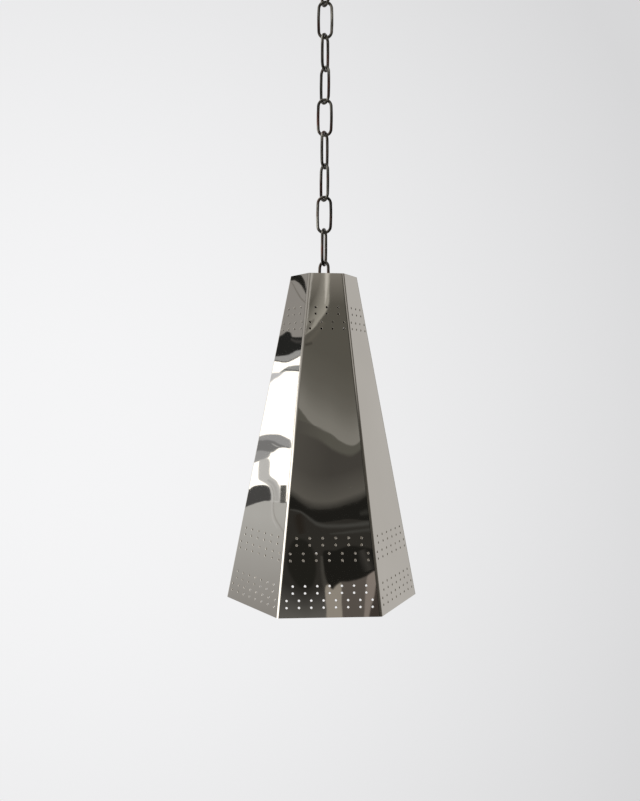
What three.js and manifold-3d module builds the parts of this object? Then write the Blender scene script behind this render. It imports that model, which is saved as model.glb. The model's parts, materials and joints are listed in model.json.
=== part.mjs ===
// Pendant lamp: a six-sided perforated sheet-metal shade that hangs on a link chain from a ceiling canopy.
// Millimetres, +Z up. The origin is the middle of the ceiling bracket's top face, and everything hangs below it.

import * as THREE from "three";
import { mergeVertices } from "three/addons/utils/BufferGeometryUtils.js";
import Module from "manifold-3d";

// Clearance between pieces that touch
const SEAT = 0.3;

// Shade: a tapered tube of panels, each lapped behind the next one at the corner
const SIDES = 6;
const SHADE_HEIGHT = 350;
const RIM_SIDE = 36.7; // one side of the top outline, its corners taken sharp
const HEM_SIDE = 104.5; // one side of the bottom outline
const SHEET = 1;
const BEND_RADIUS = 2.8; // outside radius of the fold at each corner
const SEAM_LAND = 0.4; // flush strip between the fold and the step
const STEP_RUN = 1; // width over which the sheet steps in behind its neighbour
const LAP = 2.4; // strip soldered behind the neighbour
const BEND_STEPS = 2;

// Perforations: each band is two pairs of rows. The lower pair has one hole more than the upper,
// and edgeMargin is the distance from its end holes to the panel's edges.
const HOLE_DIAMETER = 2.2;
const ROW_SPACING = 6.9;
const BELOW_RIM = { rimToLastRow: 60.2, edgeMargin: 6.4, upperHoles: 3, pairSpacing: 16 };
const MIDDLE = { hemToLastRow: 55.8, edgeMargin: 7.5, upperHoles: 6, pairSpacing: 15.3 };
const ABOVE_HEM = { hemToLastRow: 9.8, edgeMargin: 8.2, upperHoles: 7, pairSpacing: 14 };

// Plate inside the shade that carries the eye and the lampholder
const PLATE_DEPTH = 33.5; // from the rim down to the plate
const PLATE_SHEET = 1.2;
const TAB_WIDTH = 26;
const TAB_HEIGHT = 12;
const VENT_DIAMETER = 9;
const VENT_CIRCLE = 52;
const EARTH_OFFSET = 19; // from the lamp's axis to the earth screw

// Chain: bent wire links with a butt joint in one leg, each turned from the one above
const WIRE = 3.2;
const WIRE_SIDES = 8;
const LINK_LENGTH = 42;
const LINK_WIDTH = 17.5;
const LINK_ARC_STEPS = 6;
const FIRST_LINK_TURN = -65; // degrees from the X axis
const NEXT_LINK_TURNS = [60, 65, 60, 56, 65, 55, 59, 74, 58];
const EYE_TURN = 90; // each eye stands square to the link in it

// Eye nut, one below the canopy and one on the plate
const EYE_WIRE = 3.6;
const EYE_BORE = 8;
const EYE_NECK = 4.8;
const NECK_DIAMETER = 15;
const NECK_THREAD_DEPTH = 3;
const CABLE_HOLE = 6;

// Threaded tubes, nuts and washer
const TUBE_DIAMETER = 10;
const TUBE_BORE = 7;
const CABLE_NOTCH = 6; // side opening in the upper tube
const NUT_WIDTH = 14;
const THIN_NUT = 3;
const TALL_NUT = 8;
const WASHER_DIAMETER = 20;
const WASHER_THICKNESS = 1;
const EARTH_SCREW_DIAMETER = 4;
const EARTH_HEAD_DIAMETER = 8;
const EARTH_HEAD = 2.4;
const EARTH_SHANK = 7;
const EARTH_NUT_WIDTH = 7;
const EARTH_NUT = 3;

// Ceiling bracket and canopy
const BRACKET_LENGTH = 84;
const BRACKET_WIDTH = 18;
const BRACKET_THICKNESS = 2.5;
const SLOT_SPACING = 58;
const SLOT_LENGTH = 12;
const SLOT_WIDTH = 5;
const CANOPY_MARGIN = 6; // from the bracket's end to the canopy's edge
const CANOPY_DEPTH = 26;
const CANOPY_SHEET = 1.2;
const CANOPY_FLAT = 22; // diameter of the flat round the tube
const CANOPY_CURVE_STEPS = 4;

// Lampholder for a screw cap of 27 mm
const HOLDER_DIAMETER = 40.8;
const HOLDER_WALL = 1.2;
const HOLDER_NECK = 6;
const HOLDER_DOME = 10.6;
const SPIGOT = 6; // part of the cap that goes into the body
const HOLDER_BODY = 40.5;
const HOLDER_LIP = 2.4; // how far the body's lower lip turns in
const CORE_DISC = 8.7;
const CORE_WALL = 4;
const SHELL_WALL = 0.6;
const TERMINAL_SPACING = 20;
const TERMINAL_DIAMETER = 3.5;
const TERMINAL_HEAD = 6;
const TERMINAL_HEAD_HEIGHT = 2;
const TERMINAL_DEPTH = 5;
const CONTACT_LENGTH = 18;
const CONTACT_WIDTH = 5;
const CONTACT_STRIP = 0.6;
const CONTACT_DROP = 1.6;

// Bulb
const BULB_DIAMETER = 60;
const BULB_LENGTH = 107;
const BULB_GLASS = 1;
const BULB_CAP_HEIGHT = 22;
const BULB_CAP_WALL = 0.6;
const CAP_SHOULDER = 2.2;
const INSULATOR_DIAMETER = 15;
const INSULATOR_HEIGHT = 2.4;
const BUTTON_DIAMETER = 9;
const BUTTON_HEIGHT = 1;
const NECK_IN_CAP = 7;

// Facets
const FINE_STEPS = 18;
const TURN_STEPS = 12;
const SMALL_STEPS = 8;
const FULL_TURN = 2 * Math.PI;
const UP = new THREE.Vector3(0, 0, 1);

// Finishes
const finish = (color, roughness, metalness) =>
  new THREE.MeshStandardMaterial({ color, roughness, metalness });
const polishedNickel = finish(0xcfcac0, 0.08, 1);
const darkBronze = finish(0x3a2f29, 0.45, 0.9);
const zincSteel = finish(0xa9a9a6, 0.4, 1);
const brass = finish(0xc2a057, 0.3, 1);
const porcelain = finish(0xe9e6dd, 0.35, 0);
const frostedGlass = finish(0xf4f2ec, 0.5, 0);
const blackGlass = finish(0x1c1b1d, 0.3, 0);

const wasm = await Module();
wasm.setup();

// A closed geometry as a solid that can be cut and joined
function solidOf(geometry) {
  const bare = geometry.index ? geometry.toNonIndexed() : geometry.clone();
  for (const name of Object.keys(bare.attributes)) {
    if (name !== "position") bare.deleteAttribute(name);
  }
  const merged = mergeVertices(bare, 1e-4);
  return new wasm.Manifold(
    new wasm.Mesh({
      numProp: 3,
      vertProperties: merged.getAttribute("position").array,
      triVerts: new Uint32Array(merged.index.array),
    }),
  );
}

function geometryOf(solid) {
  const { vertProperties, triVerts } = solid.getMesh();
  return new THREE.BufferGeometry()
    .setAttribute("position", new THREE.BufferAttribute(new Float32Array(vertProperties), 3))
    .setIndex(new THREE.BufferAttribute(new Uint32Array(triVerts), 1));
}

// A mesh with its name, on the lamp's axis at height z
function piece(name, geometry, material, z = 0) {
  const mesh = new THREE.Mesh(geometry, material);
  mesh.name = name;
  mesh.position.z = z;
  return mesh;
}

// Turns an outline of [radius, height] points about the Z axis.
// It either starts and ends on the axis, or closes on itself.
function turned(outline, steps = TURN_STEPS) {
  const points = outline.map(([radius, height]) => new THREE.Vector2(radius, height));
  if (THREE.ShapeUtils.area(points) < 0) points.reverse();
  if (points[0].x > 0) points.push(points[0].clone());
  return new THREE.LatheGeometry(points, steps).rotateX(Math.PI / 2);
}

// A round bar or, with a bore, a tube, from height low to height high
function bar(diameter, low, high, bore = 0, steps = SMALL_STEPS) {
  return turned(
    [[bore / 2, low], [diameter / 2, low], [diameter / 2, high], [bore / 2, high]],
    steps,
  );
}

// Points evenly round a circle
function circlePoints(diameter, count, x = 0, y = 0) {
  return Array.from({ length: count }, (_, i) => {
    const angle = (i * FULL_TURN) / count;
    return new THREE.Vector2(
      x + (diameter / 2) * Math.cos(angle),
      y + (diameter / 2) * Math.sin(angle),
    );
  });
}

function roundHole(diameter, x = 0, y = 0) {
  return new THREE.Path(circlePoints(diameter, SMALL_STEPS, x, y));
}

function flat(shape, thickness, curveSegments = BEND_STEPS) {
  return new THREE.ExtrudeGeometry(shape, {
    depth: thickness,
    bevelEnabled: false,
    curveSegments,
  });
}

function nut(name, width, height, bore, top) {
  const shape = new THREE.Shape(circlePoints(width / Math.cos(Math.PI / 6), 6));
  shape.holes.push(roundHole(bore));
  return piece(name, flat(shape, height), zincSteel, top - height);
}

// Heights that follow from the sizes above, from the ceiling down
const tubeClearHole = TUBE_DIAMETER + 2 * SEAT;
const eyeRadius = (EYE_BORE + EYE_WIRE) / 2;
const nearWire = EYE_NECK - EYE_WIRE / 2; // from the neck's end to the wire beside it
const farWire = nearWire + 2 * eyeRadius;
const hooked = (EYE_WIRE + WIRE) / 2 + SEAT; // between the centres of a link's wire and an eye's
const linkPitch = LINK_LENGTH - 2 * WIRE - SEAT;
const linkTurns = NEXT_LINK_TURNS.reduce(
  (turns, step) => [...turns, turns.at(-1) + step],
  [FIRST_LINK_TURN],
);
const ceilingEyeZ = -CANOPY_DEPTH - SEAT;
const firstLinkZ = ceilingEyeZ - farWire + hooked - (LINK_LENGTH - WIRE) / 2;
const lastWireZ = firstLinkZ - (linkTurns.length - 1) * linkPitch - (LINK_LENGTH - WIRE) / 2;
const shadeEyeZ = lastWireZ + hooked - farWire;
const rimZ = shadeEyeZ - SEAT + PLATE_DEPTH;

// The shade's sloping walls
const apothem = (side) => side / 2 / Math.tan(Math.PI / SIDES);
const spread = (apothem(HEM_SIDE) - apothem(RIM_SIDE)) / SHADE_HEIGHT;
const lean = Math.atan(spread);
const levelSheet = SHEET / Math.cos(lean); // the sheet's thickness, measured level
const innerWall = (z) => apothem(RIM_SIDE) - z * spread - levelSheet;

// A panel's level section at the hem, seen from above. X runs along the panel and Y points out.
// On the +X side the sheet turns the corner, steps in, and laps behind the next panel.
// On the -X side it is filed to fit the step of the panel before it.
function panelSection() {
  const turn = FULL_TURN / SIDES;
  const corner = new THREE.Vector2(HEM_SIDE / 2, apothem(HEM_SIDE));
  const foldLength = BEND_RADIUS * Math.tan(turn / 2);
  const foldX = corner.x - foldLength;
  const foldY = corner.y - BEND_RADIUS;
  const stepDepth = levelSheet + SEAT;
  const miter = levelSheet * Math.tan(Math.atan2(stepDepth, STEP_RUN) / 2);
  // A point by its distance along the next panel from the corner, and its depth behind that face
  const beyond = (along, depth) => [
    corner.x + along * Math.cos(turn) - depth * Math.sin(turn),
    corner.y - along * Math.sin(turn) - depth * Math.cos(turn),
  ];
  const stepStart = foldLength + SEAM_LAND;
  const stepEnd = stepStart + STEP_RUN;
  const lapEnd = stepEnd + LAP;
  const filedEdge = stepStart + SEAT * Math.hypot(1, STEP_RUN / stepDepth);
  const filedBack = filedEdge + (levelSheet * STEP_RUN) / stepDepth;
  const section = new THREE.Shape();
  section.moveTo(-corner.x + filedBack, corner.y - levelSheet);
  section.lineTo(-corner.x + filedEdge, corner.y);
  section.lineTo(foldX, corner.y);
  section.absarc(foldX, foldY, BEND_RADIUS, Math.PI / 2, Math.PI / 2 - turn, true);
  section.lineTo(...beyond(stepStart, 0));
  section.lineTo(...beyond(stepEnd, stepDepth));
  section.lineTo(...beyond(lapEnd, stepDepth));
  section.lineTo(...beyond(lapEnd, stepDepth + levelSheet));
  section.lineTo(...beyond(stepEnd - miter, stepDepth + levelSheet));
  section.lineTo(...beyond(stepStart - miter, levelSheet));
  section.absarc(
    foldX, foldY, BEND_RADIUS - levelSheet, Math.PI / 2 - turn, Math.PI / 2, false,
  );
  return section;
}

// Centres of the holes as [across, down the slope from the rim]
function holeCentres() {
  const slope = SHADE_HEIGHT / Math.cos(lean);
  const centres = [];
  for (const band of [BELOW_RIM, MIDDLE, ABOVE_HEM]) {
    const lastRow = band.rimToLastRow ?? slope - band.hemToLastRow;
    const width = THREE.MathUtils.lerp(RIM_SIDE, HEM_SIDE, lastRow / slope);
    const pitch = (width - 2 * band.edgeMargin) / band.upperHoles;
    for (const pair of [0, 1]) {
      const count = band.upperHoles + pair;
      for (const row of [0, 1]) {
        const down = lastRow - (1 - pair) * band.pairSpacing - (1 - row) * ROW_SPACING;
        for (let i = 0; i < count; i++) {
          centres.push([(i - (count - 1) / 2) * pitch, down]);
        }
      }
    }
  }
  return centres;
}

// One panel of the shade, its rim at height 0
function shadePanel() {
  const blank = flat(panelSection(), SHADE_HEIGHT).translate(0, 0, -SHADE_HEIGHT);
  const at = blank.getAttribute("position");
  for (let i = 0; i < at.count; i++) {
    const rise = 1 + at.getZ(i) / SHADE_HEIGHT;
    at.setX(i, at.getX(i) - (Math.sign(at.getX(i)) * rise * (HEM_SIDE - RIM_SIDE)) / 2);
    at.setY(i, at.getY(i) - rise * SHADE_HEIGHT * spread);
  }
  // A square of the round hole's area keeps the facets few
  const holeSide = (HOLE_DIAMETER * Math.sqrt(Math.PI)) / 2;
  const punches = holeCentres().map(([across, down]) =>
    solidOf(
      new THREE.BoxGeometry(holeSide, 4 * SHEET, holeSide)
        .rotateY(Math.PI / 4)
        .rotateX(lean)
        .translate(
          across,
          apothem(RIM_SIDE) + down * Math.sin(lean) - levelSheet / 2,
          -down * Math.cos(lean),
        ),
    ),
  );
  return geometryOf(solidOf(blank).subtract(wasm.Manifold.union(punches)));
}

// Hexagonal plate with a tab turned up against each panel
function carrierPlate() {
  const underside = -PLATE_DEPTH - PLATE_SHEET;
  const reach = innerWall(underside) - SEAT;
  const corners = [];
  for (let k = 0; k < SIDES; k++) {
    for (const end of [1, -1]) {
      corners.push(
        new THREE.Vector2((end * TAB_WIDTH) / 2, reach)
          .rotateAround(new THREE.Vector2(), (k * FULL_TURN) / SIDES),
      );
    }
  }
  const outline = new THREE.Shape(corners);
  outline.holes.push(roundHole(tubeClearHole));
  outline.holes.push(roundHole(EARTH_SCREW_DIAMETER + 2 * SEAT, 0, EARTH_OFFSET));
  for (let k = 0; k < SIDES; k++) {
    const angle = (k * FULL_TURN) / SIDES;
    const radius = VENT_CIRCLE / 2;
    outline.holes.push(
      roundHole(VENT_DIAMETER, radius * Math.cos(angle), radius * Math.sin(angle)),
    );
  }
  let plate = solidOf(flat(outline, PLATE_SHEET).translate(0, 0, underside));
  const tabShape = new THREE.Shape([
    new THREE.Vector2(-TAB_WIDTH / 2, 0),
    new THREE.Vector2(TAB_WIDTH / 2, 0),
    new THREE.Vector2(TAB_WIDTH / 2, -PLATE_SHEET),
    new THREE.Vector2(-TAB_WIDTH / 2, -PLATE_SHEET),
  ]);
  const tab = flat(tabShape, TAB_HEIGHT);
  const at = tab.getAttribute("position");
  for (let i = 0; i < at.count; i++) at.setY(i, at.getY(i) + reach - at.getZ(i) * spread);
  tab.translate(0, 0, underside);
  for (let k = 0; k < SIDES; k++) {
    plate = plate.add(solidOf(tab.clone().rotateZ((k * FULL_TURN) / SIDES)));
  }
  return geometryOf(plate);
}

// Centre line of a link's wire, from the butt joint in one leg all the way round to it again
class LinkWire extends THREE.Curve {
  getPoint(t, target = new THREE.Vector3()) {
    const legX = (LINK_WIDTH - WIRE) / 2;
    const legZ = (LINK_LENGTH - LINK_WIDTH) / 2;
    const joint = SEAT / 2;
    const step = t * LinkWire.steps;
    const secondLeg = 1 + LINK_ARC_STEPS;
    const thirdLeg = secondLeg + 1 + LINK_ARC_STEPS;
    const { lerp } = THREE.MathUtils;
    if (step < 1) return target.set(legX, 0, lerp(joint, legZ, step));
    if (step < secondLeg) {
      const angle = ((step - 1) / LINK_ARC_STEPS) * Math.PI;
      return target.set(legX * Math.cos(angle), 0, legZ + legX * Math.sin(angle));
    }
    if (step < secondLeg + 1) return target.set(-legX, 0, lerp(legZ, -legZ, step - secondLeg));
    if (step < thirdLeg) {
      const angle = (1 + (step - secondLeg - 1) / LINK_ARC_STEPS) * Math.PI;
      return target.set(legX * Math.cos(angle), 0, -legZ + legX * Math.sin(angle));
    }
    return target.set(legX, 0, lerp(-legZ, -joint, step - thirdLeg));
  }
  // The sections stand at the curve's own steps, closer together round the bends
  getPointAt(u, target) {
    return this.getPoint(u, target);
  }
  getTangentAt(u, target) {
    return this.getTangent(u, target);
  }
}
LinkWire.steps = 3 + 2 * LINK_ARC_STEPS;

function chainLink() {
  return new THREE.ExtrudeGeometry(new THREE.Shape(circlePoints(WIRE, WIRE_SIDES)), {
    steps: LinkWire.steps,
    extrudePath: new LinkWire(),
  });
}

// Eye nut with the end of its neck at height 0 and its ring below, in the XZ plane
function eyeNut() {
  const ring = new THREE.TorusGeometry(eyeRadius, EYE_WIRE / 2, WIRE_SIDES, TURN_STEPS)
    .rotateX(Math.PI / 2)
    .translate(0, 0, -nearWire - eyeRadius);
  const neck = bar(NECK_DIAMETER, -EYE_NECK, 0, 0, TURN_STEPS);
  const thread = bar(tubeClearHole, -NECK_THREAD_DEPTH, SEAT, 0, TURN_STEPS);
  const cableHole = bar(CABLE_HOLE, -EYE_NECK - SEAT, SEAT);
  return geometryOf(
    solidOf(ring).add(solidOf(neck)).subtract(solidOf(thread)).subtract(solidOf(cableHole)),
  );
}

function ceilingBracket() {
  const strap = new THREE.Shape([
    new THREE.Vector2(-BRACKET_LENGTH / 2, -BRACKET_WIDTH / 2),
    new THREE.Vector2(BRACKET_LENGTH / 2, -BRACKET_WIDTH / 2),
    new THREE.Vector2(BRACKET_LENGTH / 2, BRACKET_WIDTH / 2),
    new THREE.Vector2(-BRACKET_LENGTH / 2, BRACKET_WIDTH / 2),
  ]);
  const half = (SLOT_LENGTH - SLOT_WIDTH) / 2;
  for (const side of [-1, 1]) {
    const middle = (side * SLOT_SPACING) / 2;
    strap.holes.push(
      new THREE.Path()
        .absarc(middle + half, 0, SLOT_WIDTH / 2, -Math.PI / 2, Math.PI / 2, false)
        .absarc(middle - half, 0, SLOT_WIDTH / 2, Math.PI / 2, 1.5 * Math.PI, false),
    );
  }
  return flat(strap, BRACKET_THICKNESS, SMALL_STEPS / 2);
}

// Spun canopy, open towards the ceiling
function canopyDish() {
  const rimRadius = BRACKET_LENGTH / 2 + CANOPY_MARGIN;
  const curve = (radius, depth, centre) =>
    Array.from({ length: CANOPY_CURVE_STEPS + 1 }, (_, i) => {
      const angle = (i / CANOPY_CURVE_STEPS) * (Math.PI / 2);
      return [
        centre + (radius - centre) * Math.cos(angle),
        -depth * Math.sin(angle),
      ];
    });
  const outside = curve(rimRadius, CANOPY_DEPTH, CANOPY_FLAT / 2);
  const inside = curve(rimRadius - CANOPY_SHEET, CANOPY_DEPTH - CANOPY_SHEET, CANOPY_FLAT / 2);
  return turned(
    [
      ...outside,
      [tubeClearHole / 2, -CANOPY_DEPTH],
      [tubeClearHole / 2, -CANOPY_DEPTH + CANOPY_SHEET],
      ...inside.reverse(),
    ],
    FINE_STEPS,
  );
}

function ceilingFitting() {
  const group = new THREE.Group();
  const tubeTop = -BRACKET_THICKNESS - SEAT;
  const tubeEnd = ceilingEyeZ - NECK_THREAD_DEPTH + SEAT;
  const notchZ = (tubeTop - TALL_NUT - SEAT - CANOPY_DEPTH + CANOPY_SHEET) / 2;
  const notch = new THREE.BoxGeometry(TUBE_DIAMETER, CABLE_NOTCH, CABLE_NOTCH)
    .translate(TUBE_DIAMETER / 2, 0, notchZ);
  const tube = solidOf(bar(TUBE_DIAMETER, tubeEnd, tubeTop, TUBE_BORE));
  const eye = piece("ceiling_eye", eyeNut(), darkBronze, ceilingEyeZ);
  eye.rotation.z = THREE.MathUtils.degToRad(FIRST_LINK_TURN + EYE_TURN);
  group.add(
    piece("ceiling_bracket", ceilingBracket(), zincSteel, -BRACKET_THICKNESS),
    nut("bracket_nut", NUT_WIDTH, TALL_NUT, tubeClearHole, tubeTop),
    piece("canopy_tube", geometryOf(tube.subtract(solidOf(notch))), zincSteel),
    piece("canopy", canopyDish(), polishedNickel),
    eye,
  );
  return group;
}

function chain() {
  const group = new THREE.Group();
  linkTurns.forEach((degrees, i) => {
    const name = "chain_link_" + String(i + 1).padStart(2, "0");
    const link = piece(name, chainLink(), darkBronze, firstLinkZ - i * linkPitch);
    link.rotation.z = THREE.MathUtils.degToRad(degrees);
    group.add(link);
  });
  return group;
}

// Earth screw through the plate, with its nut below
function earthTerminal() {
  const group = new THREE.Group();
  const head = -PLATE_DEPTH + SEAT;
  const screw = turned(
    [
      [0, head + EARTH_HEAD],
      [EARTH_HEAD_DIAMETER / 2, head + EARTH_HEAD],
      [EARTH_HEAD_DIAMETER / 2, head],
      [EARTH_SCREW_DIAMETER / 2, head],
      [EARTH_SCREW_DIAMETER / 2, head - EARTH_SHANK],
      [0, head - EARTH_SHANK],
    ],
    SMALL_STEPS,
  );
  group.add(
    piece("earth_screw", screw, brass),
    nut(
      "earth_nut", EARTH_NUT_WIDTH, EARTH_NUT, EARTH_SCREW_DIAMETER + 2 * SEAT,
      -PLATE_DEPTH - PLATE_SHEET - SEAT,
    ),
  );
  group.position.y = EARTH_OFFSET;
  return group;
}

// Heights of the lampholder below the rim, and its radii
const holderTop = -PLATE_DEPTH - PLATE_SHEET - WASHER_THICKNESS - THIN_NUT - 3 * SEAT;
const bodyTop = holderTop - HOLDER_NECK - HOLDER_DOME - SEAT;
const bodyEnd = bodyTop - HOLDER_BODY;
const coreTop = bodyTop + SEAT - SPIGOT - SEAT;
const discUnder = coreTop - CORE_DISC;
const coreEnd = bodyEnd + HOLDER_WALL + SEAT;
const bodyRadius = HOLDER_DIAMETER / 2;
const spigotRadius = bodyRadius - HOLDER_WALL - SEAT;
const sleeveRadius = spigotRadius - CORE_WALL;
const shellRadius = sleeveRadius - SEAT;
const capRadius = shellRadius - SHELL_WALL - SEAT;

function lampholder() {
  const group = new THREE.Group();
  const neckRadius = NECK_DIAMETER / 2;
  const shoulder = holderTop - HOLDER_NECK;
  const domeEnd = shoulder - HOLDER_DOME;
  const spigotEnd = domeEnd - SPIGOT;
  const dome = turned([
    [tubeClearHole / 2, holderTop],
    [neckRadius, holderTop],
    [neckRadius, shoulder],
    [bodyRadius * 0.8, shoulder - HOLDER_DOME * 0.3],
    [bodyRadius, domeEnd + HOLDER_WALL],
    [bodyRadius, domeEnd],
    [spigotRadius, domeEnd],
    [spigotRadius, spigotEnd],
    [spigotRadius - HOLDER_WALL, spigotEnd],
    [spigotRadius - HOLDER_WALL, domeEnd],
    [tubeClearHole / 2, shoulder - HOLDER_WALL],
  ]);
  const body = turned([
    [bodyRadius, bodyTop],
    [bodyRadius, bodyEnd],
    [bodyRadius - HOLDER_LIP - HOLDER_WALL, bodyEnd],
    [bodyRadius - HOLDER_LIP - HOLDER_WALL, bodyEnd + HOLDER_WALL],
    [bodyRadius - HOLDER_WALL, bodyEnd + HOLDER_WALL],
    [bodyRadius - HOLDER_WALL, bodyTop],
  ]);
  const core = turned([
    [0, coreTop],
    [spigotRadius, coreTop],
    [spigotRadius, coreEnd],
    [sleeveRadius, coreEnd],
    [sleeveRadius, discUnder],
    [0, discUnder],
  ]);
  const sides = [-1, 1];
  const socket = (x) =>
    bar(TERMINAL_DIAMETER + 2 * SEAT, coreTop - TERMINAL_DEPTH - SEAT, coreTop + SEAT)
      .translate(x, 0, 0);
  const drilled = sides.reduce(
    (solid, side) => solid.subtract(solidOf(socket((side * TERMINAL_SPACING) / 2))),
    solidOf(core),
  );
  const screw = turned(
    [
      [0, TERMINAL_HEAD_HEIGHT],
      [TERMINAL_HEAD / 2, TERMINAL_HEAD_HEIGHT],
      [TERMINAL_HEAD / 2, 0],
      [TERMINAL_DIAMETER / 2, 0],
      [TERMINAL_DIAMETER / 2, -TERMINAL_DEPTH],
      [0, -TERMINAL_DEPTH],
    ],
    SMALL_STEPS,
  );
  group.add(
    piece("holder_cap", dome, polishedNickel),
    piece("holder_body", body, polishedNickel),
    piece("holder_core", geometryOf(drilled), porcelain),
    piece(
      "screw_shell",
      bar(2 * shellRadius, coreEnd, discUnder - SEAT, 2 * (shellRadius - SHELL_WALL), TURN_STEPS),
      brass,
    ),
    centreContact(),
  );
  sides.forEach((side, i) => {
    const terminal = piece("terminal_screw_" + (i + 1), screw, brass, coreTop + SEAT);
    terminal.position.x = (side * TERMINAL_SPACING) / 2;
    group.add(terminal);
  });
  return group;
}

// Sprung strip under the core: flat where it is fixed, then down to the bulb's button
function centreContact() {
  const half = CONTACT_LENGTH / 2;
  const line = [[-half, 0], [-half / 2, 0], [half / 4, -CONTACT_DROP], [half / 2, -CONTACT_DROP]];
  const strip = new THREE.Shape([
    ...line.map(([x, y]) => new THREE.Vector2(x, y)),
    ...line.reverse().map(([x, y]) => new THREE.Vector2(x, y - CONTACT_STRIP)),
  ]);
  const bent = flat(strip, CONTACT_WIDTH).translate(0, 0, -CONTACT_WIDTH / 2).rotateX(Math.PI / 2);
  return piece("centre_contact", bent, brass, discUnder - SEAT);
}

function shade() {
  const group = new THREE.Group();
  const panel = shadePanel();
  for (let k = 0; k < SIDES; k++) {
    const mesh = piece("shade_panel_" + (k + 1), panel, polishedNickel);
    mesh.rotateOnAxis(UP, Math.PI + (k * FULL_TURN) / SIDES);
    group.add(mesh);
  }
  const eye = piece("shade_eye", eyeNut().rotateX(Math.PI), darkBronze, -PLATE_DEPTH + SEAT);
  eye.rotation.z = THREE.MathUtils.degToRad(linkTurns.at(-1) + EYE_TURN);
  const plateUnder = -PLATE_DEPTH - PLATE_SHEET;
  const washerTop = plateUnder - SEAT;
  const nutTop = washerTop - WASHER_THICKNESS - SEAT;
  const tubeTop = -PLATE_DEPTH + NECK_THREAD_DEPTH;
  group.add(
    piece("carrier_plate", carrierPlate(), zincSteel),
    eye,
    piece(
      "holder_tube",
      bar(TUBE_DIAMETER, holderTop - HOLDER_NECK, tubeTop, TUBE_BORE),
      zincSteel,
    ),
    piece(
      "tube_washer",
      bar(WASHER_DIAMETER, washerTop - WASHER_THICKNESS, washerTop, tubeClearHole, TURN_STEPS),
      zincSteel,
    ),
    nut("tube_nut", NUT_WIDTH, THIN_NUT, tubeClearHole, nutTop),
    earthTerminal(),
    lampholder(),
    bulb(),
  );
  group.position.z = rimZ;
  return group;
}

// The glass envelope's outline from the lowest point up to the neck, drawn in by inset
function envelope(inset, neckRadius, neckTop, centreZ) {
  const radius = BULB_DIAMETER / 2 - inset;
  const points = [];
  const ballSteps = 4;
  const lastAngle = 0.2 * Math.PI;
  for (let i = 0; i <= ballSteps; i++) {
    const angle = THREE.MathUtils.lerp(-Math.PI / 2, lastAngle, i / ballSteps);
    points.push([radius * Math.cos(angle), centreZ + radius * Math.sin(angle)]);
  }
  points[0][0] = 0;
  const neckBend = centreZ + BULB_DIAMETER * 0.8;
  points.push([neckRadius + BULB_DIAMETER * 0.06 - inset, neckBend]);
  points.push([neckRadius - inset, neckTop - NECK_IN_CAP - SEAT]);
  points.push([neckRadius - inset, neckTop]);
  return points;
}

function bulb() {
  const group = new THREE.Group();
  const buttonTop = discUnder - SEAT - CONTACT_DROP - CONTACT_STRIP - SEAT;
  const insulatorTop = buttonTop - BUTTON_HEIGHT;
  const capTop = insulatorTop - INSULATOR_HEIGHT;
  const capEnd = capTop - BULB_CAP_HEIGHT;
  const neckRadius = capRadius - BULB_CAP_WALL - SEAT;
  const neckTop = capEnd + NECK_IN_CAP;
  const centreZ = buttonTop - BULB_LENGTH + BULB_DIAMETER / 2;
  const cap = turned([
    [INSULATOR_DIAMETER / 2 - BULB_CAP_WALL, capTop],
    [INSULATOR_DIAMETER / 2, capTop],
    [capRadius, capTop - CAP_SHOULDER],
    [capRadius, capEnd],
    [capRadius - BULB_CAP_WALL, capEnd],
    [capRadius - BULB_CAP_WALL, capTop - CAP_SHOULDER - BULB_CAP_WALL],
    [INSULATOR_DIAMETER / 2 - BULB_CAP_WALL, capTop - BULB_CAP_WALL],
  ]);
  const insulator = turned([
    [0, insulatorTop - SEAT],
    [BUTTON_DIAMETER / 2, insulatorTop - SEAT],
    [INSULATOR_DIAMETER / 2, capTop + SEAT],
    [0, capTop + SEAT],
  ]);
  const glass = turned([
    ...envelope(0, neckRadius, neckTop, centreZ),
    ...envelope(BULB_GLASS, neckRadius, neckTop, centreZ).reverse(),
  ]);
  group.add(
    piece("bulb_button", bar(BUTTON_DIAMETER, insulatorTop, buttonTop), brass),
    piece("bulb_insulator", insulator, blackGlass),
    piece("bulb_cap", cap, zincSteel),
    piece("bulb_glass", glass, frostedGlass),
  );
  return group;
}

const lamp = new THREE.Group();
lamp.add(ceilingFitting(), chain(), shade());

export default lamp;
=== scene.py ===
# Pendant lamp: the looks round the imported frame. Metres, the same frame as the solids.

import json
import math

import bmesh
import bpy
from mathutils import Matrix, Vector
from mathutils.geometry import interpolate_bezier, tessellate_polygon


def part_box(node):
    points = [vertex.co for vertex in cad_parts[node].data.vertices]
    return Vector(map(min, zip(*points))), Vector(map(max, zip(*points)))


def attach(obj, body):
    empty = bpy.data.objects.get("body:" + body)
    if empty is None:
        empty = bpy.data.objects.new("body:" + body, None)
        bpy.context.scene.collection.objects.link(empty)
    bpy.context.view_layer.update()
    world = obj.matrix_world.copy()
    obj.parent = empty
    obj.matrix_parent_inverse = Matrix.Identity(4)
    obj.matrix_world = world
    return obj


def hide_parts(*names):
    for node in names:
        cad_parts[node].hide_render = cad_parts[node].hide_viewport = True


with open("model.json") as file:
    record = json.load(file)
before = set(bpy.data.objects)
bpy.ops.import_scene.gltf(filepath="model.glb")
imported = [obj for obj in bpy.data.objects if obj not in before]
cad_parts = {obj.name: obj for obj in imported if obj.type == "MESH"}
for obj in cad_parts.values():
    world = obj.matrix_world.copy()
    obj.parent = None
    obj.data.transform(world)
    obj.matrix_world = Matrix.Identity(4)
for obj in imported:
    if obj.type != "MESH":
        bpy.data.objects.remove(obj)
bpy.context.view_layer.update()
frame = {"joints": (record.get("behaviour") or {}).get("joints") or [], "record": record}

MM = 0.001
SEAT = 0.3 * MM

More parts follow.
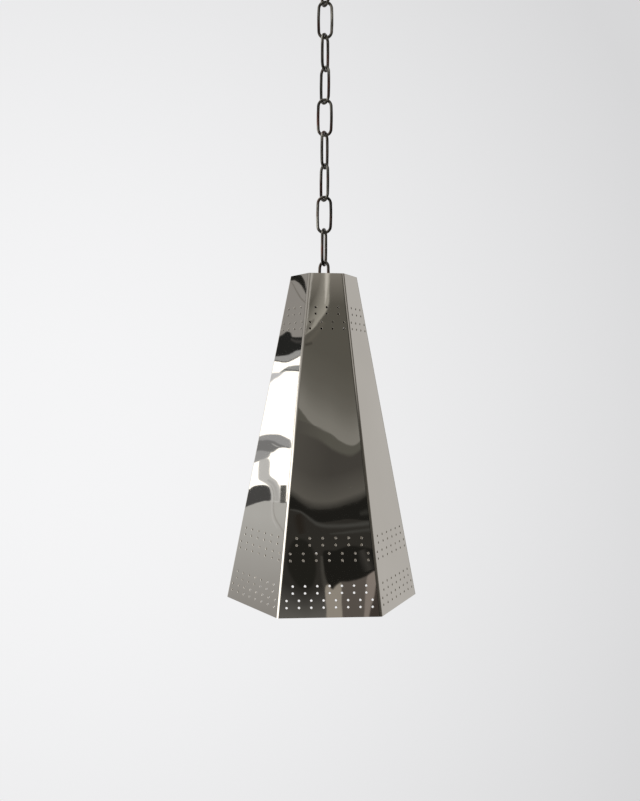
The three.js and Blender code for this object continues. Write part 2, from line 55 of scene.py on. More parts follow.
# Camera, from the corners of the shade in the photograph
PHOTO_WIDTH, PHOTO_HEIGHT = 640, 801
FOCAL_PIXELS = 836.5
SENSOR = 36.0
CAMERA_SPOT = Vector((-79.0, -915.3, -492.35)) * MM
CAMERA_HEADING = math.radians(4.71)
CAMERA_PITCH = math.radians(-0.904)
CAMERA_ROLL = math.radians(0.3)

# Shade
SIDES = 6
SIDE_TURN = 2 * math.pi / SIDES
RIM_SIDE = 36.7 * MM
HEM_SIDE = 104.5 * MM
SHEET = 1 * MM
BEND_RADIUS = 2.8 * MM
BEND_STEPS = 10
SEAM_LAND = 0.4 * MM
STEP_RUN = 1 * MM
LAP = 2.4 * MM
HOLE_DIAMETER = 2.2 * MM
HOLE_FLARE = 0.3 * MM
ROW_SPACING = 6.9 * MM
BELOW_RIM = {"rim_to_last": 60.2 * MM, "margin": 6.4 * MM, "holes": 3, "pair": 16 * MM}
MIDDLE = {"hem_to_last": 55.8 * MM, "margin": 7.5 * MM, "holes": 6, "pair": 15.3 * MM}
ABOVE_HEM = {"hem_to_last": 9.8 * MM, "margin": 8.2 * MM, "holes": 7, "pair": 14 * MM}

# Plate in the shade
PLATE_SHEET = 1.2 * MM
PLATE_EASE = 0.25 * MM
TAB_WIDTH = 26 * MM
TAB_CORNER = 3 * MM
VENT_DIAMETER = 9 * MM
VENT_CIRCLE = 52 * MM
EARTH_OFFSET = 19 * MM
EARTH_SHANK = 2 * MM
EARTH_HEAD = 2.4 * MM

# Chain and eyes
WIRE = 3.2 * MM
LINK_LENGTH = 42 * MM
LINK_WIDTH = 17.5 * MM
LINK_BULGE = 0.15 * MM
LINKS = 10
EYE_WIRE = 3.6 * MM
EYE_BORE = 8 * MM
NECK = 4.8 * MM
NECK_RADIUS = 7.5 * MM
NECK_STRAIGHT = 0.45  # share of the neck before it tapers
NECK_TIP = 0.62  # share of the radius that is left at the ring
NECK_EASE = 0.9 * MM
NECK_THREAD_DEPTH = 3 * MM
CABLE_HOLE = 3 * MM

# Tubes, nuts and screws
TUBE_RADIUS = 5 * MM
TUBE_BORE = 3.5 * MM
TUBE_PITCH = 1 * MM
TUBE_ROW = TUBE_PITCH / 5
TUBE_THREAD = 0.28 * MM
TUBE_CHAMFER = 0.4 * MM
TUBE_CLEAR = TUBE_RADIUS + SEAT
CABLE_NOTCH = 6 * MM
NUT_SIDES = 6
NUT_CHAMFER = 0.6  # share of what the corners stand out past the flats
SCREW_PITCH = 0.7 * MM
SCREW_ROW = SCREW_PITCH / 4
SCREW_THREAD = 0.2 * MM
SCREW_CORE = 0.9  # share of the shank that the thread leaves whole
SCREW_SLOT = 0.8 * MM

# Ceiling bracket and canopy
SLOT_SPACING = 58 * MM
SLOT_LENGTH = 12 * MM
SLOT_WIDTH = 5 * MM
BRACKET_CORNER = 2.5 * MM
CANOPY_SHEET = 1.2 * MM
CANOPY_FLAT = 11 * MM

# Lampholder and bulb
HOLDER_WALL = 1.2 * MM
HOLDER_NECK = 6 * MM
HOLDER_NECK_RADIUS = 7.5 * MM
HOLDER_DOME = 10.6 * MM
HOLDER_LIP = 2.4 * MM
CORE_DISC = 8.7 * MM
CORE_WALL = 4 * MM
SHELL_WALL = 0.6 * MM
TERMINAL_SHANK = 1.75 * MM
TERMINAL_DEPTH = 5 * MM
TERMINAL_HEAD = 2 * MM
CONTACT_STRIP = 0.6 * MM
CONTACT_DROP = 1.6 * MM
CAP_PITCH = 3.6 * MM
CAP_ROW = CAP_PITCH / 12
CAP_THREAD = 0.8 * MM
SHELL_THREAD = 0.25 * MM
CAP_SHOULDER = 2.2 * MM
CAP_WALL = 0.6 * MM
INSULATOR_RADIUS = 7.5 * MM
BUTTON_RADIUS = 4.5 * MM
GLASS_WALL = 1 * MM
GLASS_NECK_POINTS = 17
NECK_IN_CAP = 7 * MM
BALL_END = 36  # degrees above level at which the glass leaves the ball for the neck
NECK_PULL = 0.45  # share of the way over which each end bends the neck's curve

# Looks and stage
SHARP = math.radians(50)  # edges that turn more than this are rounded off
SATIN_ROUGHNESS = 0.26
NICKEL_SHINE = (0.565, 0.533, 0.475)  # share of the light that the nickel gives back
WINDOW_LIGHT = 2.4
CURVE_STEPS = 24
FLOOR_Z = -2.4
FLOOR_RADIUS = 2.4
GROUND_Z = -2.2
GROUND_RADII = (1, 1.5, 4, 9)
# Painted light on the backdrop: the wall's colour is lighter in this direction and darker away from it,
# over this angle
PAINTED_LIGHT_SIDE = (math.sin(math.radians(-15)), math.cos(math.radians(-15)), -0.06)
PAINTED_LIGHT_ANGLE = math.radians(45)
PLAIN_LIGHT = 0.75
LAMP_AIM = Vector((0, 0, -0.5))

PANEL_1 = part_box("shade_panel_1")
RIM_Z = PANEL_1[1].z
HEM_Z = PANEL_1[0].z
SHADE_HEIGHT = RIM_Z - HEM_Z


def apothem(side):
    return side / 2 / math.tan(math.pi / SIDES)


SPREAD = (apothem(HEM_SIDE) - apothem(RIM_SIDE)) / SHADE_HEIGHT
LEAN = math.atan(SPREAD)
LEVEL_SHEET = SHEET / math.cos(LEAN)
SLOPE = SHADE_HEIGHT / math.cos(LEAN)


# Materials


def linear(red, green, blue):
    """A colour written as 0 to 255, as light."""

    def channel(value):
        value /= 255
        return value / 12.92 if value <= 0.04045 else ((value + 0.055) / 1.055) ** 2.4

    return channel(red), channel(green), channel(blue)


class Nodes:
    """A node tree with short calls for what the looks need."""

    def __init__(self, tree):
        self.tree = tree

    def feed(self, node, sockets):
        """Gives each socket, by its name or number, a value or the output that feeds it."""
        for key, value in sockets.items():
            if isinstance(value, bpy.types.NodeSocket):
                self.tree.links.new(value, node.inputs[key])
            else:
                node.inputs[key].default_value = value

    def add(self, kind, output, sockets=None, **settings):
        """One output of a new node."""
        node = self.tree.nodes.new("ShaderNode" + kind)
        for key, value in settings.items():
            setattr(node, key, value)
        self.feed(node, sockets or {})
        return node.outputs[output]

    def ramp(self, value, stops):
        """Colours, written as 0 to 255, by their positions from 0 to 1."""
        color = self.add("ValToRGB", "Color", {"Fac": value})
        elements = color.node.color_ramp.elements
        while len(elements) < len(stops):
            elements.new(0.5)
        for element, (position, shade) in zip(elements, stops.items()):
            element.position = position
            element.color = (*linear(*shade), 1)
        return color

    def spread(self, value, low, high, start=0.0, end=1.0):
        """low where the value is at the start, high where it is at the end."""
        sockets = {"From Min": start, "From Max": end, "To Min": low, "To Max": high}
        return self.add("MapRange", "Result", {"Value": value, **sockets})


class Finish(Nodes):
    """A material's nodes round its shader."""

    def __init__(self, name):
        self.material = bpy.data.materials.new(name)
        self.material.use_nodes = True
        super().__init__(self.material.node_tree)
        self.place = self.add("TexCoord", "Object")

    def noise(self, scale, detail=2.0, roughness=0.5, distortion=0.0, place=None):
        grain = {"Scale": scale, "Detail": detail, "Roughness": roughness, "Distortion": distortion}
        return self.add("TexNoise", "Fac", {"Vector": place or self.place, **grain})

    def bump(self, height, distance, normal=None):
        under = {} if normal is None else {"Normal": normal}
        relief = {"Strength": 1.0, "Distance": distance, "Height": height}
        return self.add("Bump", "Normal", {**relief, **under})

    def inside(self):
        """1 on faces that look towards the lamp's axis, 0 on the others."""
        level = self.add("VectorMath", "Vector", {0: self.place, 1: (1, 1, 0)}, operation="MULTIPLY")
        outwards = self.add("VectorMath", "Vector", {0: level}, operation="NORMALIZE")
        both = {0: outwards, 1: self.add("TexCoord", "Normal")}
        facing = self.add("VectorMath", "Value", both, operation="DOT_PRODUCT")
        return self.spread(facing, 0, 1, start=-0.4, end=-0.6)

    def shade(self, **sockets):
        """Feeds the shader. In a socket's name an underscore stands for a space."""
        named = {key.replace("_", " "): value for key, value in sockets.items()}
        self.feed(self.tree.nodes["Principled BSDF"], named)
        return self.material


def polished_nickel():
    """Mirror polish outside. The inner faces are left satin."""
    nodes = Finish("polished_nickel")
    tone = nodes.noise(scale=9, detail=3)
    polish = nodes.spread(nodes.noise(scale=40, detail=4, roughness=0.6), low=0.008, high=0.03)
    inside = nodes.inside()
    both = {0: inside, 1: SATIN_ROUGHNESS, 2: polish}
    satin = nodes.add("Math", "Value", both, operation="MULTIPLY_ADD")
    swell = nodes.noise(scale=11, detail=1, roughness=0.4, distortion=0.4)
    ripple = nodes.bump(swell, distance=0.03 * MM)
    return nodes.shade(
        Base_Color=nodes.ramp(tone, {0.3: (196, 190, 180), 0.7: (202, 196, 186)}),
        Metallic=nodes.spread(inside, low=1, high=0.7),
        Roughness=satin,
        Normal=nodes.bump(nodes.noise(scale=60), distance=0.005 * MM, normal=ripple),
    )


def dark_bronze():
    """Streaks along the wire, worn bright in places and brown in others."""
    nodes = Finish("dark_bronze")
    drawn_out = nodes.add("Mapping", "Vector", {"Vector": nodes.place, "Scale": (1, 1, 0.12)})
    streaks = nodes.noise(scale=330, detail=4, roughness=0.55, distortion=0.2, place=drawn_out)
    brown = nodes.noise(scale=42, detail=3, roughness=0.6)
    color = {
        "Factor": nodes.ramp(brown, {0.5: (0, 0, 0), 0.64: (255, 255, 255)}),
        "A": nodes.ramp(streaks, {0.34: (42, 40, 37), 0.5: (80, 77, 71), 0.68: (146, 143, 134)}),
        "B": nodes.ramp(streaks, {0.34: (44, 34, 31), 0.66: (112, 84, 75)}),
    }
    grain = nodes.bump(nodes.noise(scale=700), distance=0.01 * MM)
    return nodes.shade(
        Base_Color=nodes.add("Mix", "Result", color, data_type="RGBA"),
        Metallic=1.0,
        Roughness=nodes.spread(nodes.noise(scale=180, detail=3), low=0.2, high=0.42),
        Normal=nodes.bump(streaks, distance=0.035 * MM, normal=grain),
    )


def speckled(name, tone, colors, gloss, roughness, grain, depth, **sockets):
    """A finish with a noise each, by scale, detail and roughness, for colour, gloss and relief."""
    nodes = Finish(name)
    return nodes.shade(
        Base_Color=nodes.ramp(nodes.noise(*tone), colors),
        Roughness=nodes.spread(nodes.noise(*gloss), *roughness),
        Normal=nodes.bump(nodes.noise(*grain), depth),
        **sockets,
    )


def zinc_steel():
    return speckled(
        "zinc_steel", tone=(120, 5, 0.6), colors={0.35: (150, 151, 152), 0.65: (186, 186, 182)},
        gloss=(90, 4), roughness=(0.28, 0.46), grain=(500, 3), depth=0.03 * MM, Metallic=1.0,
    )


def brass():
    return speckled(
        "brass", tone=(110, 4), colors={0.35: (186, 146, 76), 0.65: (214, 178, 104)},
        gloss=(160, 4), roughness=(0.2, 0.38), grain=(600, 3), depth=0.02 * MM, Metallic=1.0,
    )


def porcelain():
    return speckled(
        "porcelain", tone=(60, 4), colors={0.35: (226, 221, 210), 0.7: (238, 235, 227)},
        gloss=(130, 3), roughness=(0.18, 0.36), grain=(180, 2), depth=0.04 * MM, Coat_Weight=0.4,
    )


def frosted_glass():
    return speckled(
        "frosted_glass", tone=(50, 3), colors={0.35: (176, 175, 170), 0.7: (190, 189, 185)},
        gloss=(200, 4), roughness=(0.3, 0.46), grain=(900, 2), depth=0.01 * MM,
        Subsurface_Weight=0.15, Subsurface_Scale=3 * MM,
    )


def black_glass():
    return speckled(
        "black_glass", tone=(150, 3), colors={0.35: (18, 17, 20), 0.7: (38, 36, 40)},
        gloss=(200, 3), roughness=(0.12, 0.28), grain=(400, 2), depth=0.03 * MM,
    )


FINISHES = {
    make.__name__: make()
    for make in (polished_nickel, dark_bronze, zinc_steel, brass, porcelain, frosted_glass, black_glass)
}
RECORD_SLOTS = {row["node"]: row["material_slot"] for row in frame["record"]["subparts"]}
NODE_BODIES = {
    node: body
    for body, nodes in frame["record"]["behaviour"]["bodies"].items()
    for node in nodes
}


# Shapes


def object_from(name, data):
    obj = bpy.data.objects.new(name, data)
    bpy.context.scene.collection.objects.link(obj)
    return obj


def object_of(name, shape):
    """The finished bmesh as an object."""
    bmesh.ops.recalc_face_normals(shape, faces=shape.faces)
    data = bpy.data.meshes.new(name)
    shape.to_mesh(data)
    shape.free()
    return object_from(name, data)


def modify(obj, kind, **settings):
    modifier = obj.modifiers.new(kind.lower(), kind)
    for key, value in settings.items():
        setattr(modifier, key, value)


def apply_modifiers(obj):
    graph = bpy.context.evaluated_depsgraph_get()
    made = bpy.data.meshes.new_from_object(obj.evaluated_get(graph))
    obj.modifiers.clear()
    obj.data = made


def combine(obj, other, operation):
    """Joins one solid with another or cuts it by it. The other one is used up."""
    modify(obj, "BOOLEAN", operation=operation, solver="EXACT", object=other)
    apply_modifiers(obj)
    bpy.data.objects.remove(other)
    return obj


def mirror_as_one_plane(mesh_data, plane, angle, same_plane=1):
    """Every corner on the two faces of a flat sheet gets the sheet's own normal.

    Corners of faces up to same_plane degrees off it count as on them. Faces that meet them at
    more than angle degrees keep their own.
    """
    normals = [corner.vector.copy() for corner in mesh_data.corner_normals]
    flats = {}
    for polygon in mesh_data.polygons:
        along = polygon.normal.dot(plane)
        if abs(along) > math.cos(math.radians(same_plane)):
            polygon.use_smooth = False
            for vertex in polygon.vertices:
                flats[vertex] = plane * math.copysign(1, along)
    for polygon in mesh_data.polygons:
        for i in polygon.loop_indices:
            flat = flats.get(mesh_data.loops[i].vertex_index)
            if flat is not None and flat.dot(polygon.normal) > math.cos(math.radians(angle)):
                normals[i] = flat
    mesh_data.normals_split_custom_set(normals)


def dress(obj, node, angle=50, plane=None):
    """The piece stands for a CAD node: it rides on the same body and has the same finish.

    Its edges are smooth up to this angle in degrees. Large flat faces keep their own normal
    where a bend or a rounded edge meets them.
    """
    finish = RECORD_SLOTS[node]
    data = obj.data
    data.materials.clear()
    data.materials.append(FINISHES[finish])
    data.polygons.foreach_set("use_smooth", [True] * len(data.polygons))
    data.set_sharp_from_angle(angle=math.radians(angle))
    if plane:
        mirror_as_one_plane(data, plane, angle)
    else:
        modify(obj, "WEIGHTED_NORMAL", mode="FACE_AREA", weight=100, keep_sharp=True)
    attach(obj, NODE_BODIES[node])
    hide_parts(node)


def arc(x, y, width, height, start, end, steps):
    """Points on an ellipse about (x, y), between two angles in degrees from +X."""
    turns = [math.radians(start + (end - start) * i / steps) for i in range(steps + 1)]
    return [(x + width * math.cos(turn), y + height * math.sin(turn)) for turn in turns]


def circle(radius, x=0.0, y=0.0, steps=32):
    return arc(x, y, radius, radius, 0, 360, steps)[:-1]


def rectangle(left, right, low, high):
    return [(left, low), (right, low), (right, high), (left, high)]


def eased(points, ease, closed=True, nearly_straight=20, longest=0.45):
    """The same outline with each sharp corner rounded off over a short distance.

    nearly_straight is in degrees, and longest is the largest share of an edge that is used.
    """
    line = []
    for i, point in enumerate(points):
        corner = Vector(point)
        before = Vector(points[i - 1]) - corner
        after = Vector(points[(i + 1) % len(points)]) - corner
        end_of_line = not closed and i in (0, len(points) - 1)
        if end_of_line or before.angle(-after) < math.radians(nearly_straight):
            line.append(corner)
            continue
        start = corner + before * min(ease / before.length, longest)
        end = corner + after * min(ease / after.length, longest)
        line += [start, (start + 2 * corner + end) / 4, end]
    return line


def skin(shape, rings):
    """Faces from each ring of corners to the next. A ring of one corner is a tip."""
    for low, high in zip(rings, rings[1:]):
        count = max(len(low), len(high))
        for i in range(count):
            j = (i + 1) % count
            corners = (low[i % len(low)], low[j % len(low)], high[j % len(high)], high[i % len(high)])
            shape.faces.new(dict.fromkeys(corners))


def revolved(name, outline, steps=48, wave=None):
    """Turns an outline of (radius, height) points about the Z axis.

    It starts and ends on the axis, or closes on itself. wave may change a radius by its
    height and heading.
    """
    shape = bmesh.new()
    rings = []
    for radius, height in outline:
        ring = []
        for i in range(steps if radius else 1):
            turn = 2 * math.pi * i / steps
            far = wave(radius, height, turn) if wave else radius
            ring.append(shape.verts.new((far * math.cos(turn), far * math.sin(turn), height)))
        rings.append(ring)
    if outline[0][0] > 0:
        rings.append(rings[0])
    skin(shape, rings)
    return object_of(name, shape)


def turned(name, node, outline, ease, closed=True, steps=48):
    """A round piece with eased edges, which stands for a CAD node."""
    dress(revolved(name, eased(outline, ease, closed), steps), node)


def rows(radius, start, end, step):
    """Points up or down a straight wall, close enough together to carry a thread."""
    count = round(abs(end - start) / step)
    return [(radius, start + (end - start) * i / count) for i in range(count + 1)]


def thread(low, high, pitch, depth, inside=0.0):
    """A screw thread between two heights. It leaves radii up to inside as they are."""

    def wave(radius, height, turn):
        if radius <= inside or not low < height < high:
            return radius
        fade = min(1, (height - low) / pitch, (high - height) / pitch)
        return radius + depth * fade * (math.cos(2 * math.pi * height / pitch - turn) - 1) / 2

    return wave


def plate(name, loops, low, high, ease=0.0):
    """A level sheet between two heights, with an outline, holes and rounded edges."""
    shape = bmesh.new()
    levels = [[shape.verts.new((x, y, z)) for loop in loops for x, y in loop] for z in (low, high)]
    for corners in tessellate_polygon([[Vector((x, y, 0)) for x, y in loop] for loop in loops]):
        for level in levels:
            shape.faces.new([level[i] for i in corners])
    start = 0
    for loop in loops:
        skin(shape, [level[start : start + len(loop)] for level in levels])
        start += len(loop)
    bmesh.ops.recalc_face_normals(shape, faces=shape.faces)
    if ease:
        edges = [edge for edge in shape.edges if edge.calc_face_angle(0) > SHARP]
        bmesh.ops.bevel(shape, geom=edges, offset=ease, segments=2, affect="EDGES")
    return object_of(name, shape)


def block(size, x, z):
    """A plain cutter for a notch or a slot."""
    shape = bmesh.new()
    place = Matrix.Translation((x, 0, z)) @ Matrix.Diagonal((*size, 1))
    bmesh.ops.create_cube(shape, size=1, matrix=place)
    return object_of("block", shape)


def placed(obj, x, y, z=0.0, turn=0.0):
    obj.data.transform(Matrix.Translation((x, y, z)) @ Matrix.Rotation(turn, 4, "Z"))
    return obj


def middle(node):
    low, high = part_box(node)
    return (low + high) / 2


def round_size(node):
    """A round node's lower end, upper end and radius."""
    low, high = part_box(node)
    return low.z, high.z, max(high.x - low.x, high.y - low.y) / 2


# Shade


def panel_section():
    """A panel's level section at the hem, outside in: X along the panel, Y outwards."""
    corner = Vector((HEM_SIDE / 2, apothem(HEM_SIDE)))
    fold_length = BEND_RADIUS * math.tan(SIDE_TURN / 2)
    fold = Vector((corner.x - fold_length, corner.y - BEND_RADIUS))
    depth = LEVEL_SHEET + SEAT
    miter = LEVEL_SHEET * math.tan(math.atan2(depth, STEP_RUN) / 2)

    def beyond(along, behind):
        return (
            corner.x + along * math.cos(SIDE_TURN) - behind * math.sin(SIDE_TURN),
            corner.y - along * math.sin(SIDE_TURN) - behind * math.cos(SIDE_TURN),
        )

    def bend(radius):
        return arc(*fold, radius, radius, 90, 90 - 360 / SIDES, BEND_STEPS)

    step_start = fold_length + SEAM_LAND
    step_end = step_start + STEP_RUN
    lap_end = step_end + LAP
    filed_edge = step_start + SEAT * math.hypot(1, STEP_RUN / depth)
    filed_back = filed_edge + LEVEL_SHEET * STEP_RUN / depth
    return [
        (-corner.x + filed_back, corner.y - LEVEL_SHEET),
        (-corner.x + filed_edge, corner.y),
        *bend(BEND_RADIUS),
        beyond(step_start, 0),
        beyond(step_end, depth),
        beyond(lap_end, depth),
        beyond(lap_end, depth + LEVEL_SHEET),
        beyond(step_end - miter, depth + LEVEL_SHEET),
        beyond(step_start - miter, LEVEL_SHEET),
        *reversed(bend(BEND_RADIUS - LEVEL_SHEET)),
    ]


def hole_centres():
    """Centres of the perforations as (across, down the slope from the rim)."""
    centres = []
    for band in (BELOW_RIM, MIDDLE, ABOVE_HEM):
        last = band.get("rim_to_last") or SLOPE - band["hem_to_last"]
        width = RIM_SIDE + (HEM_SIDE - RIM_SIDE) * last / SLOPE
        pitch = (width - 2 * band["margin"]) / band["holes"]
        for pair in (0, 1):
            count = band["holes"] + pair
            for row in (0, 1):
                down = last - (1 - pair) * band["pair"] - (1 - row) * ROW_SPACING
                centres += [((i - (count - 1) / 2) * pitch, down) for i in range(count)]
    return centres


def panel_blank():
    shape = bmesh.new()
    section = panel_section()
    narrower = (HEM_SIDE - RIM_SIDE) / 2
    hem = [shape.verts.new((x, y, HEM_Z)) for x, y in section]
    rim = [
        shape.verts.new((x - math.copysign(narrower, x), y - SHADE_HEIGHT * SPREAD, RIM_Z))
        for x, y in section
    ]
    skin(shape, [hem, rim])
    shape.faces.new(hem)
    shape.faces.new(rim)
    return object_of("panel_blank", shape)


def punches():
    """The holes as solids, wider at the outer face, where the punch drew the edge in."""
    radius = HOLE_DIAMETER / 2
    wide = radius + HOLE_FLARE
    flare = arc(wide, HOLE_FLARE - SHEET / 2, -HOLE_FLARE, -HOLE_FLARE, 0, 90, steps=3)
    outline = [(0, 2 * SHEET), (radius, 2 * SHEET), *flare, (wide, -2 * SHEET), (0, -2 * SHEET)]
    punch = revolved("punch", outline, steps=16)
    tilt = Matrix.Rotation(math.pi / 2 + LEAN, 4, "X")
    shape = bmesh.new()
    for across, down in hole_centres():
        out = apothem(RIM_SIDE) + down * math.sin(LEAN) - LEVEL_SHEET / 2
        data = punch.data.copy()
        data.transform(Matrix.Translation((across, out, RIM_Z - down * math.cos(LEAN))) @ tilt)
        shape.from_mesh(data)
        bpy.data.meshes.remove(data)
    bpy.data.objects.remove(punch)
    return object_of("punches", shape)


def shade_panels():
    blank = combine(panel_blank(), punches(), "DIFFERENCE")
    face = Vector((0, math.cos(LEAN), math.sin(LEAN)))
    for k in range(SIDES):
        turn = Matrix.Rotation(math.pi + k * SIDE_TURN, 4, "Z")
        data = blank.data.copy()
        data.transform(turn)
        panel = object_from(f"panel_{k + 1}", data)
        dress(panel, f"shade_panel_{k + 1}", angle=25, plane=turn @ face)
    bpy.data.objects.remove(blank)


def carrier_plate():
    low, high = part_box("carrier_plate")
    inner = apothem(RIM_SIDE) + (RIM_Z - low.z) * SPREAD - LEVEL_SHEET - SEAT
    half = TAB_WIDTH / 2
    turns = [Matrix.Rotation(k * SIDE_TURN, 4, "Z") for k in range(SIDES)]
    outline = [turn.to_2x2() @ Vector((end * half, inner)) for turn in turns for end in (1, -1)]
    loops = [outline, circle(TUBE_CLEAR), circle(EARTH_SHANK + SEAT, 0, EARTH_OFFSET)]
    loops += [circle(VENT_DIAMETER / 2, x, y) for x, y in circle(VENT_CIRCLE / 2, steps=SIDES)]
    sheet = plate("carrier_plate", loops, low.z, low.z + PLATE_SHEET)
    face = rectangle(-half, half, 0, high.z - low.z)
    # Easing makes three points of each corner: the lower two corners stay sharp
    rounded_top = face[:2] + eased(face, TAB_CORNER)[6:]
    for turn in turns:
        tab = plate("tab", [rounded_top], 0, PLATE_SHEET)
        for vertex in tab.data.vertices:
            x, y, z = vertex.co
            vertex.co = (x, inner - z - y * SPREAD, low.z + y)
        tab.data.transform(turn)
        combine(sheet, tab, "UNION")
    modify(sheet, "BEVEL", width=PLATE_EASE, segments=2, limit_method="ANGLE", angle_limit=SHARP)
    apply_modifiers(sheet)
    dress(sheet, "carrier_plate")


# Chain and eyes


def wire_along(line, radius, sides=16, closed=False):
    """A round wire along a line of (x, z) points."""
    up = Vector((0, 1, 0))
    line = [Vector((x, 0, z)) for x, z in line]
    shape = bmesh.new()
    rings = []
    count = len(line)
    for i, point in enumerate(line):
        before = line[i - 1] if i or closed else point
        after = line[(i + 1) % count] if i + 1 < count or closed else point
        side = (after - before).normalized().cross(up)
        section = circle(radius, steps=sides)
        rings.append([shape.verts.new(point + side * a + up * b) for a, b in section])
    if closed:
        rings.append(rings[0])
    else:
        shape.faces.new(rings[0])
        shape.faces.new(rings[-1])
    skin(shape, rings)
    return object_of("wire", shape)


def link_line():
    """Centre line of a link's wire, from the butt joint in one leg round to it again."""
    leg_x = (LINK_WIDTH - WIRE) / 2
    leg_z = (LINK_LENGTH - LINK_WIDTH) / 2
    narrow = leg_x - LINK_BULGE

    def leg(side, *heights):
        bulges = [2 * LINK_BULGE * math.cos(z / leg_z * math.pi / 2) for z in heights]
        return [(side * (narrow + bulge), z) for bulge, z in zip(bulges, heights)]

    heights = [leg_z * i / 4 for i in (1, 2, 3)]
    bend = arc(0, leg_z, narrow, leg_x, 0, 180, steps=20)
    over = leg(1, *heights) + bend + leg(-1, *reversed(heights))
    under = [(-x, -z) for x, z in over]
    return leg(1, SEAT / 2) + over + leg(-1, 0) + under + leg(1, -SEAT / 2)


def wire_turn(joint_name):
    """Heading of the wire that a hinge turns on."""
    axis = next(joint["axis"] for joint in frame["joints"] if joint["name"] == joint_name)
    return math.atan2(axis[1], axis[0])


def chain():
    for i in range(1, LINKS + 1):
        # The next hinge lies along this link's own bottom wire
        turn = wire_turn(f"link_{i + 1:02d}_swing" if i < LINKS else "shade_swing")
        node = f"chain_link_{i:02d}"
        link = wire_along(link_line(), WIRE / 2)
        link.name = f"link_{i:02d}"
        dress(placed(link, 0, 0, middle(node).z, turn), node)


def eye_nut(node, neck_end, below, turn):
    """A ring on a bored neck. below is -1 where the ring hangs from the neck, else 1."""
    radius = min(round_size(node)[2], NECK_RADIUS)
    ring_radius = (EYE_BORE + EYE_WIRE) / 2
    centre = below * (NECK - EYE_WIRE / 2 + ring_radius)
    ring = wire_along(circle(ring_radius, 0, centre, steps=40), EYE_WIRE / 2, sides=20, closed=True)
    end = below * NECK
    neck = [(0, 0), (radius, 0), (radius, end * NECK_STRAIGHT), (radius * NECK_TIP, end), (0, end)]
    ring = combine(ring, revolved("neck", eased(neck, NECK_EASE, closed=False)), "UNION")
    depth = below * NECK_THREAD_DEPTH
    clear = below * SEAT
    bore = [
        (0, -clear), (TUBE_CLEAR, -clear), (TUBE_CLEAR, depth), (CABLE_HOLE, depth),
        (CABLE_HOLE, end + clear), (0, end + clear),
    ]
    eye = combine(ring, revolved("bore", bore), "DIFFERENCE")
    eye.name = node + "_fine"
    dress(placed(eye, 0, 0, neck_end, turn), node)


# Tubes, nuts and screws


def nut(node, bore_radius):
    low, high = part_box(node)
    corner = (high.x - low.x) / 2
    flat = corner * math.cos(math.pi / NUT_SIDES)
    chamfer = (corner - flat) * NUT_CHAMFER
    loops = [circle(corner, steps=NUT_SIDES), circle(bore_radius)]
    shape = plate(node + "_fine", loops, low.z, high.z)
    turned_down = [
        (0, low.z), (flat, low.z), (corner, low.z + chamfer), (corner, high.z - chamfer),
        (flat, high.z), (0, high.z),
    ]
    combine(shape, revolved("chamfer", turned_down), "INTERSECT")
    centre = middle(node)
    dress(placed(shape, centre.x, centre.y), node, angle=30)


def threaded_tube(node):
    bottom, top, _ = round_size(node)
    end = TUBE_RADIUS - TUBE_CHAMFER
    outline = [
        (TUBE_BORE, bottom), (end, bottom),
        *rows(TUBE_RADIUS, bottom + TUBE_CHAMFER, top - TUBE_CHAMFER, TUBE_ROW),
        (end, top), (TUBE_BORE, top),
    ]
    grooves = thread(bottom, top, TUBE_PITCH, TUBE_THREAD, TUBE_BORE)
    return revolved(node + "_fine", outline, steps=32, wave=grooves)


def canopy_tube():
    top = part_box("bracket_nut")[0].z - SEAT
    middle_z = (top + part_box("canopy")[0].z + CANOPY_SHEET) / 2
    notch = block((2 * TUBE_RADIUS, CABLE_NOTCH, CABLE_NOTCH), TUBE_RADIUS, middle_z)
    dress(combine(threaded_tube("canopy_tube"), notch, "DIFFERENCE"), "canopy_tube")


def holder_tube():
    dress(threaded_tube("holder_tube"), "holder_tube")


def screw(node, head_height, shank):
    """A cheese-headed screw with a slot."""
    bottom, top, head = round_size(node)
    under = top - head_height
    corners = [(0, top), (head, top), (head, under), (shank, under), (shank, bottom), (0, bottom)]
    outline = eased(corners, ease=0.4 * MM, closed=False)
    threaded = rows(shank, under - SCREW_PITCH, bottom + SCREW_PITCH, SCREW_ROW)
    above = [point for point in outline if point[1] > under - SCREW_PITCH / 2]
    below = [point for point in outline if point[1] < threaded[-1][1]]
    grooves = thread(bottom, under, SCREW_PITCH, SCREW_THREAD, SCREW_CORE * shank)
    body = revolved(node + "_fine", above + threaded + below, steps=32, wave=grooves)
    slot = block((3 * head, SCREW_SLOT, head_height), 0, top)
    centre = middle(node)
    dress(placed(combine(body, slot, "DIFFERENCE"), centre.x, centre.y), node)


def washer():
    bottom, top, outside = round_size("tube_washer")
    turned("washer", "tube_washer", rectangle(TUBE_CLEAR, outside, bottom, top), ease=0.25 * MM)


# Ceiling


def ceiling_bracket():
    low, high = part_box("ceiling_bracket")
    loops = [eased(rectangle(-high.x, high.x, -high.y, high.y), BRACKET_CORNER)]
    for end in (-1, 1):
        slot = []
        for x, y in circle(SLOT_WIDTH / 2):
            stretch = math.copysign((SLOT_LENGTH - SLOT_WIDTH) / 2, x)
            slot.append((x + stretch + end * SLOT_SPACING / 2, y))
        loops.append(slot)
    dress(plate("bracket", loops, low.z, high.z, ease=0.35 * MM), "ceiling_bracket")


def canopy():
    bottom, top, rim = round_size("canopy")

    def bowl(inset):
        width = rim - inset - CANOPY_FLAT
        return arc(CANOPY_FLAT, top, width, bottom + inset - top, 0, 90, steps=24)

    outline = [
        *bowl(0), (TUBE_CLEAR, bottom), (TUBE_CLEAR, bottom + CANOPY_SHEET),
        *reversed(bowl(CANOPY_SHEET)),
    ]
    turned("canopy_bowl", "canopy", outline, ease=0.3 * MM, steps=96)


# Lampholder


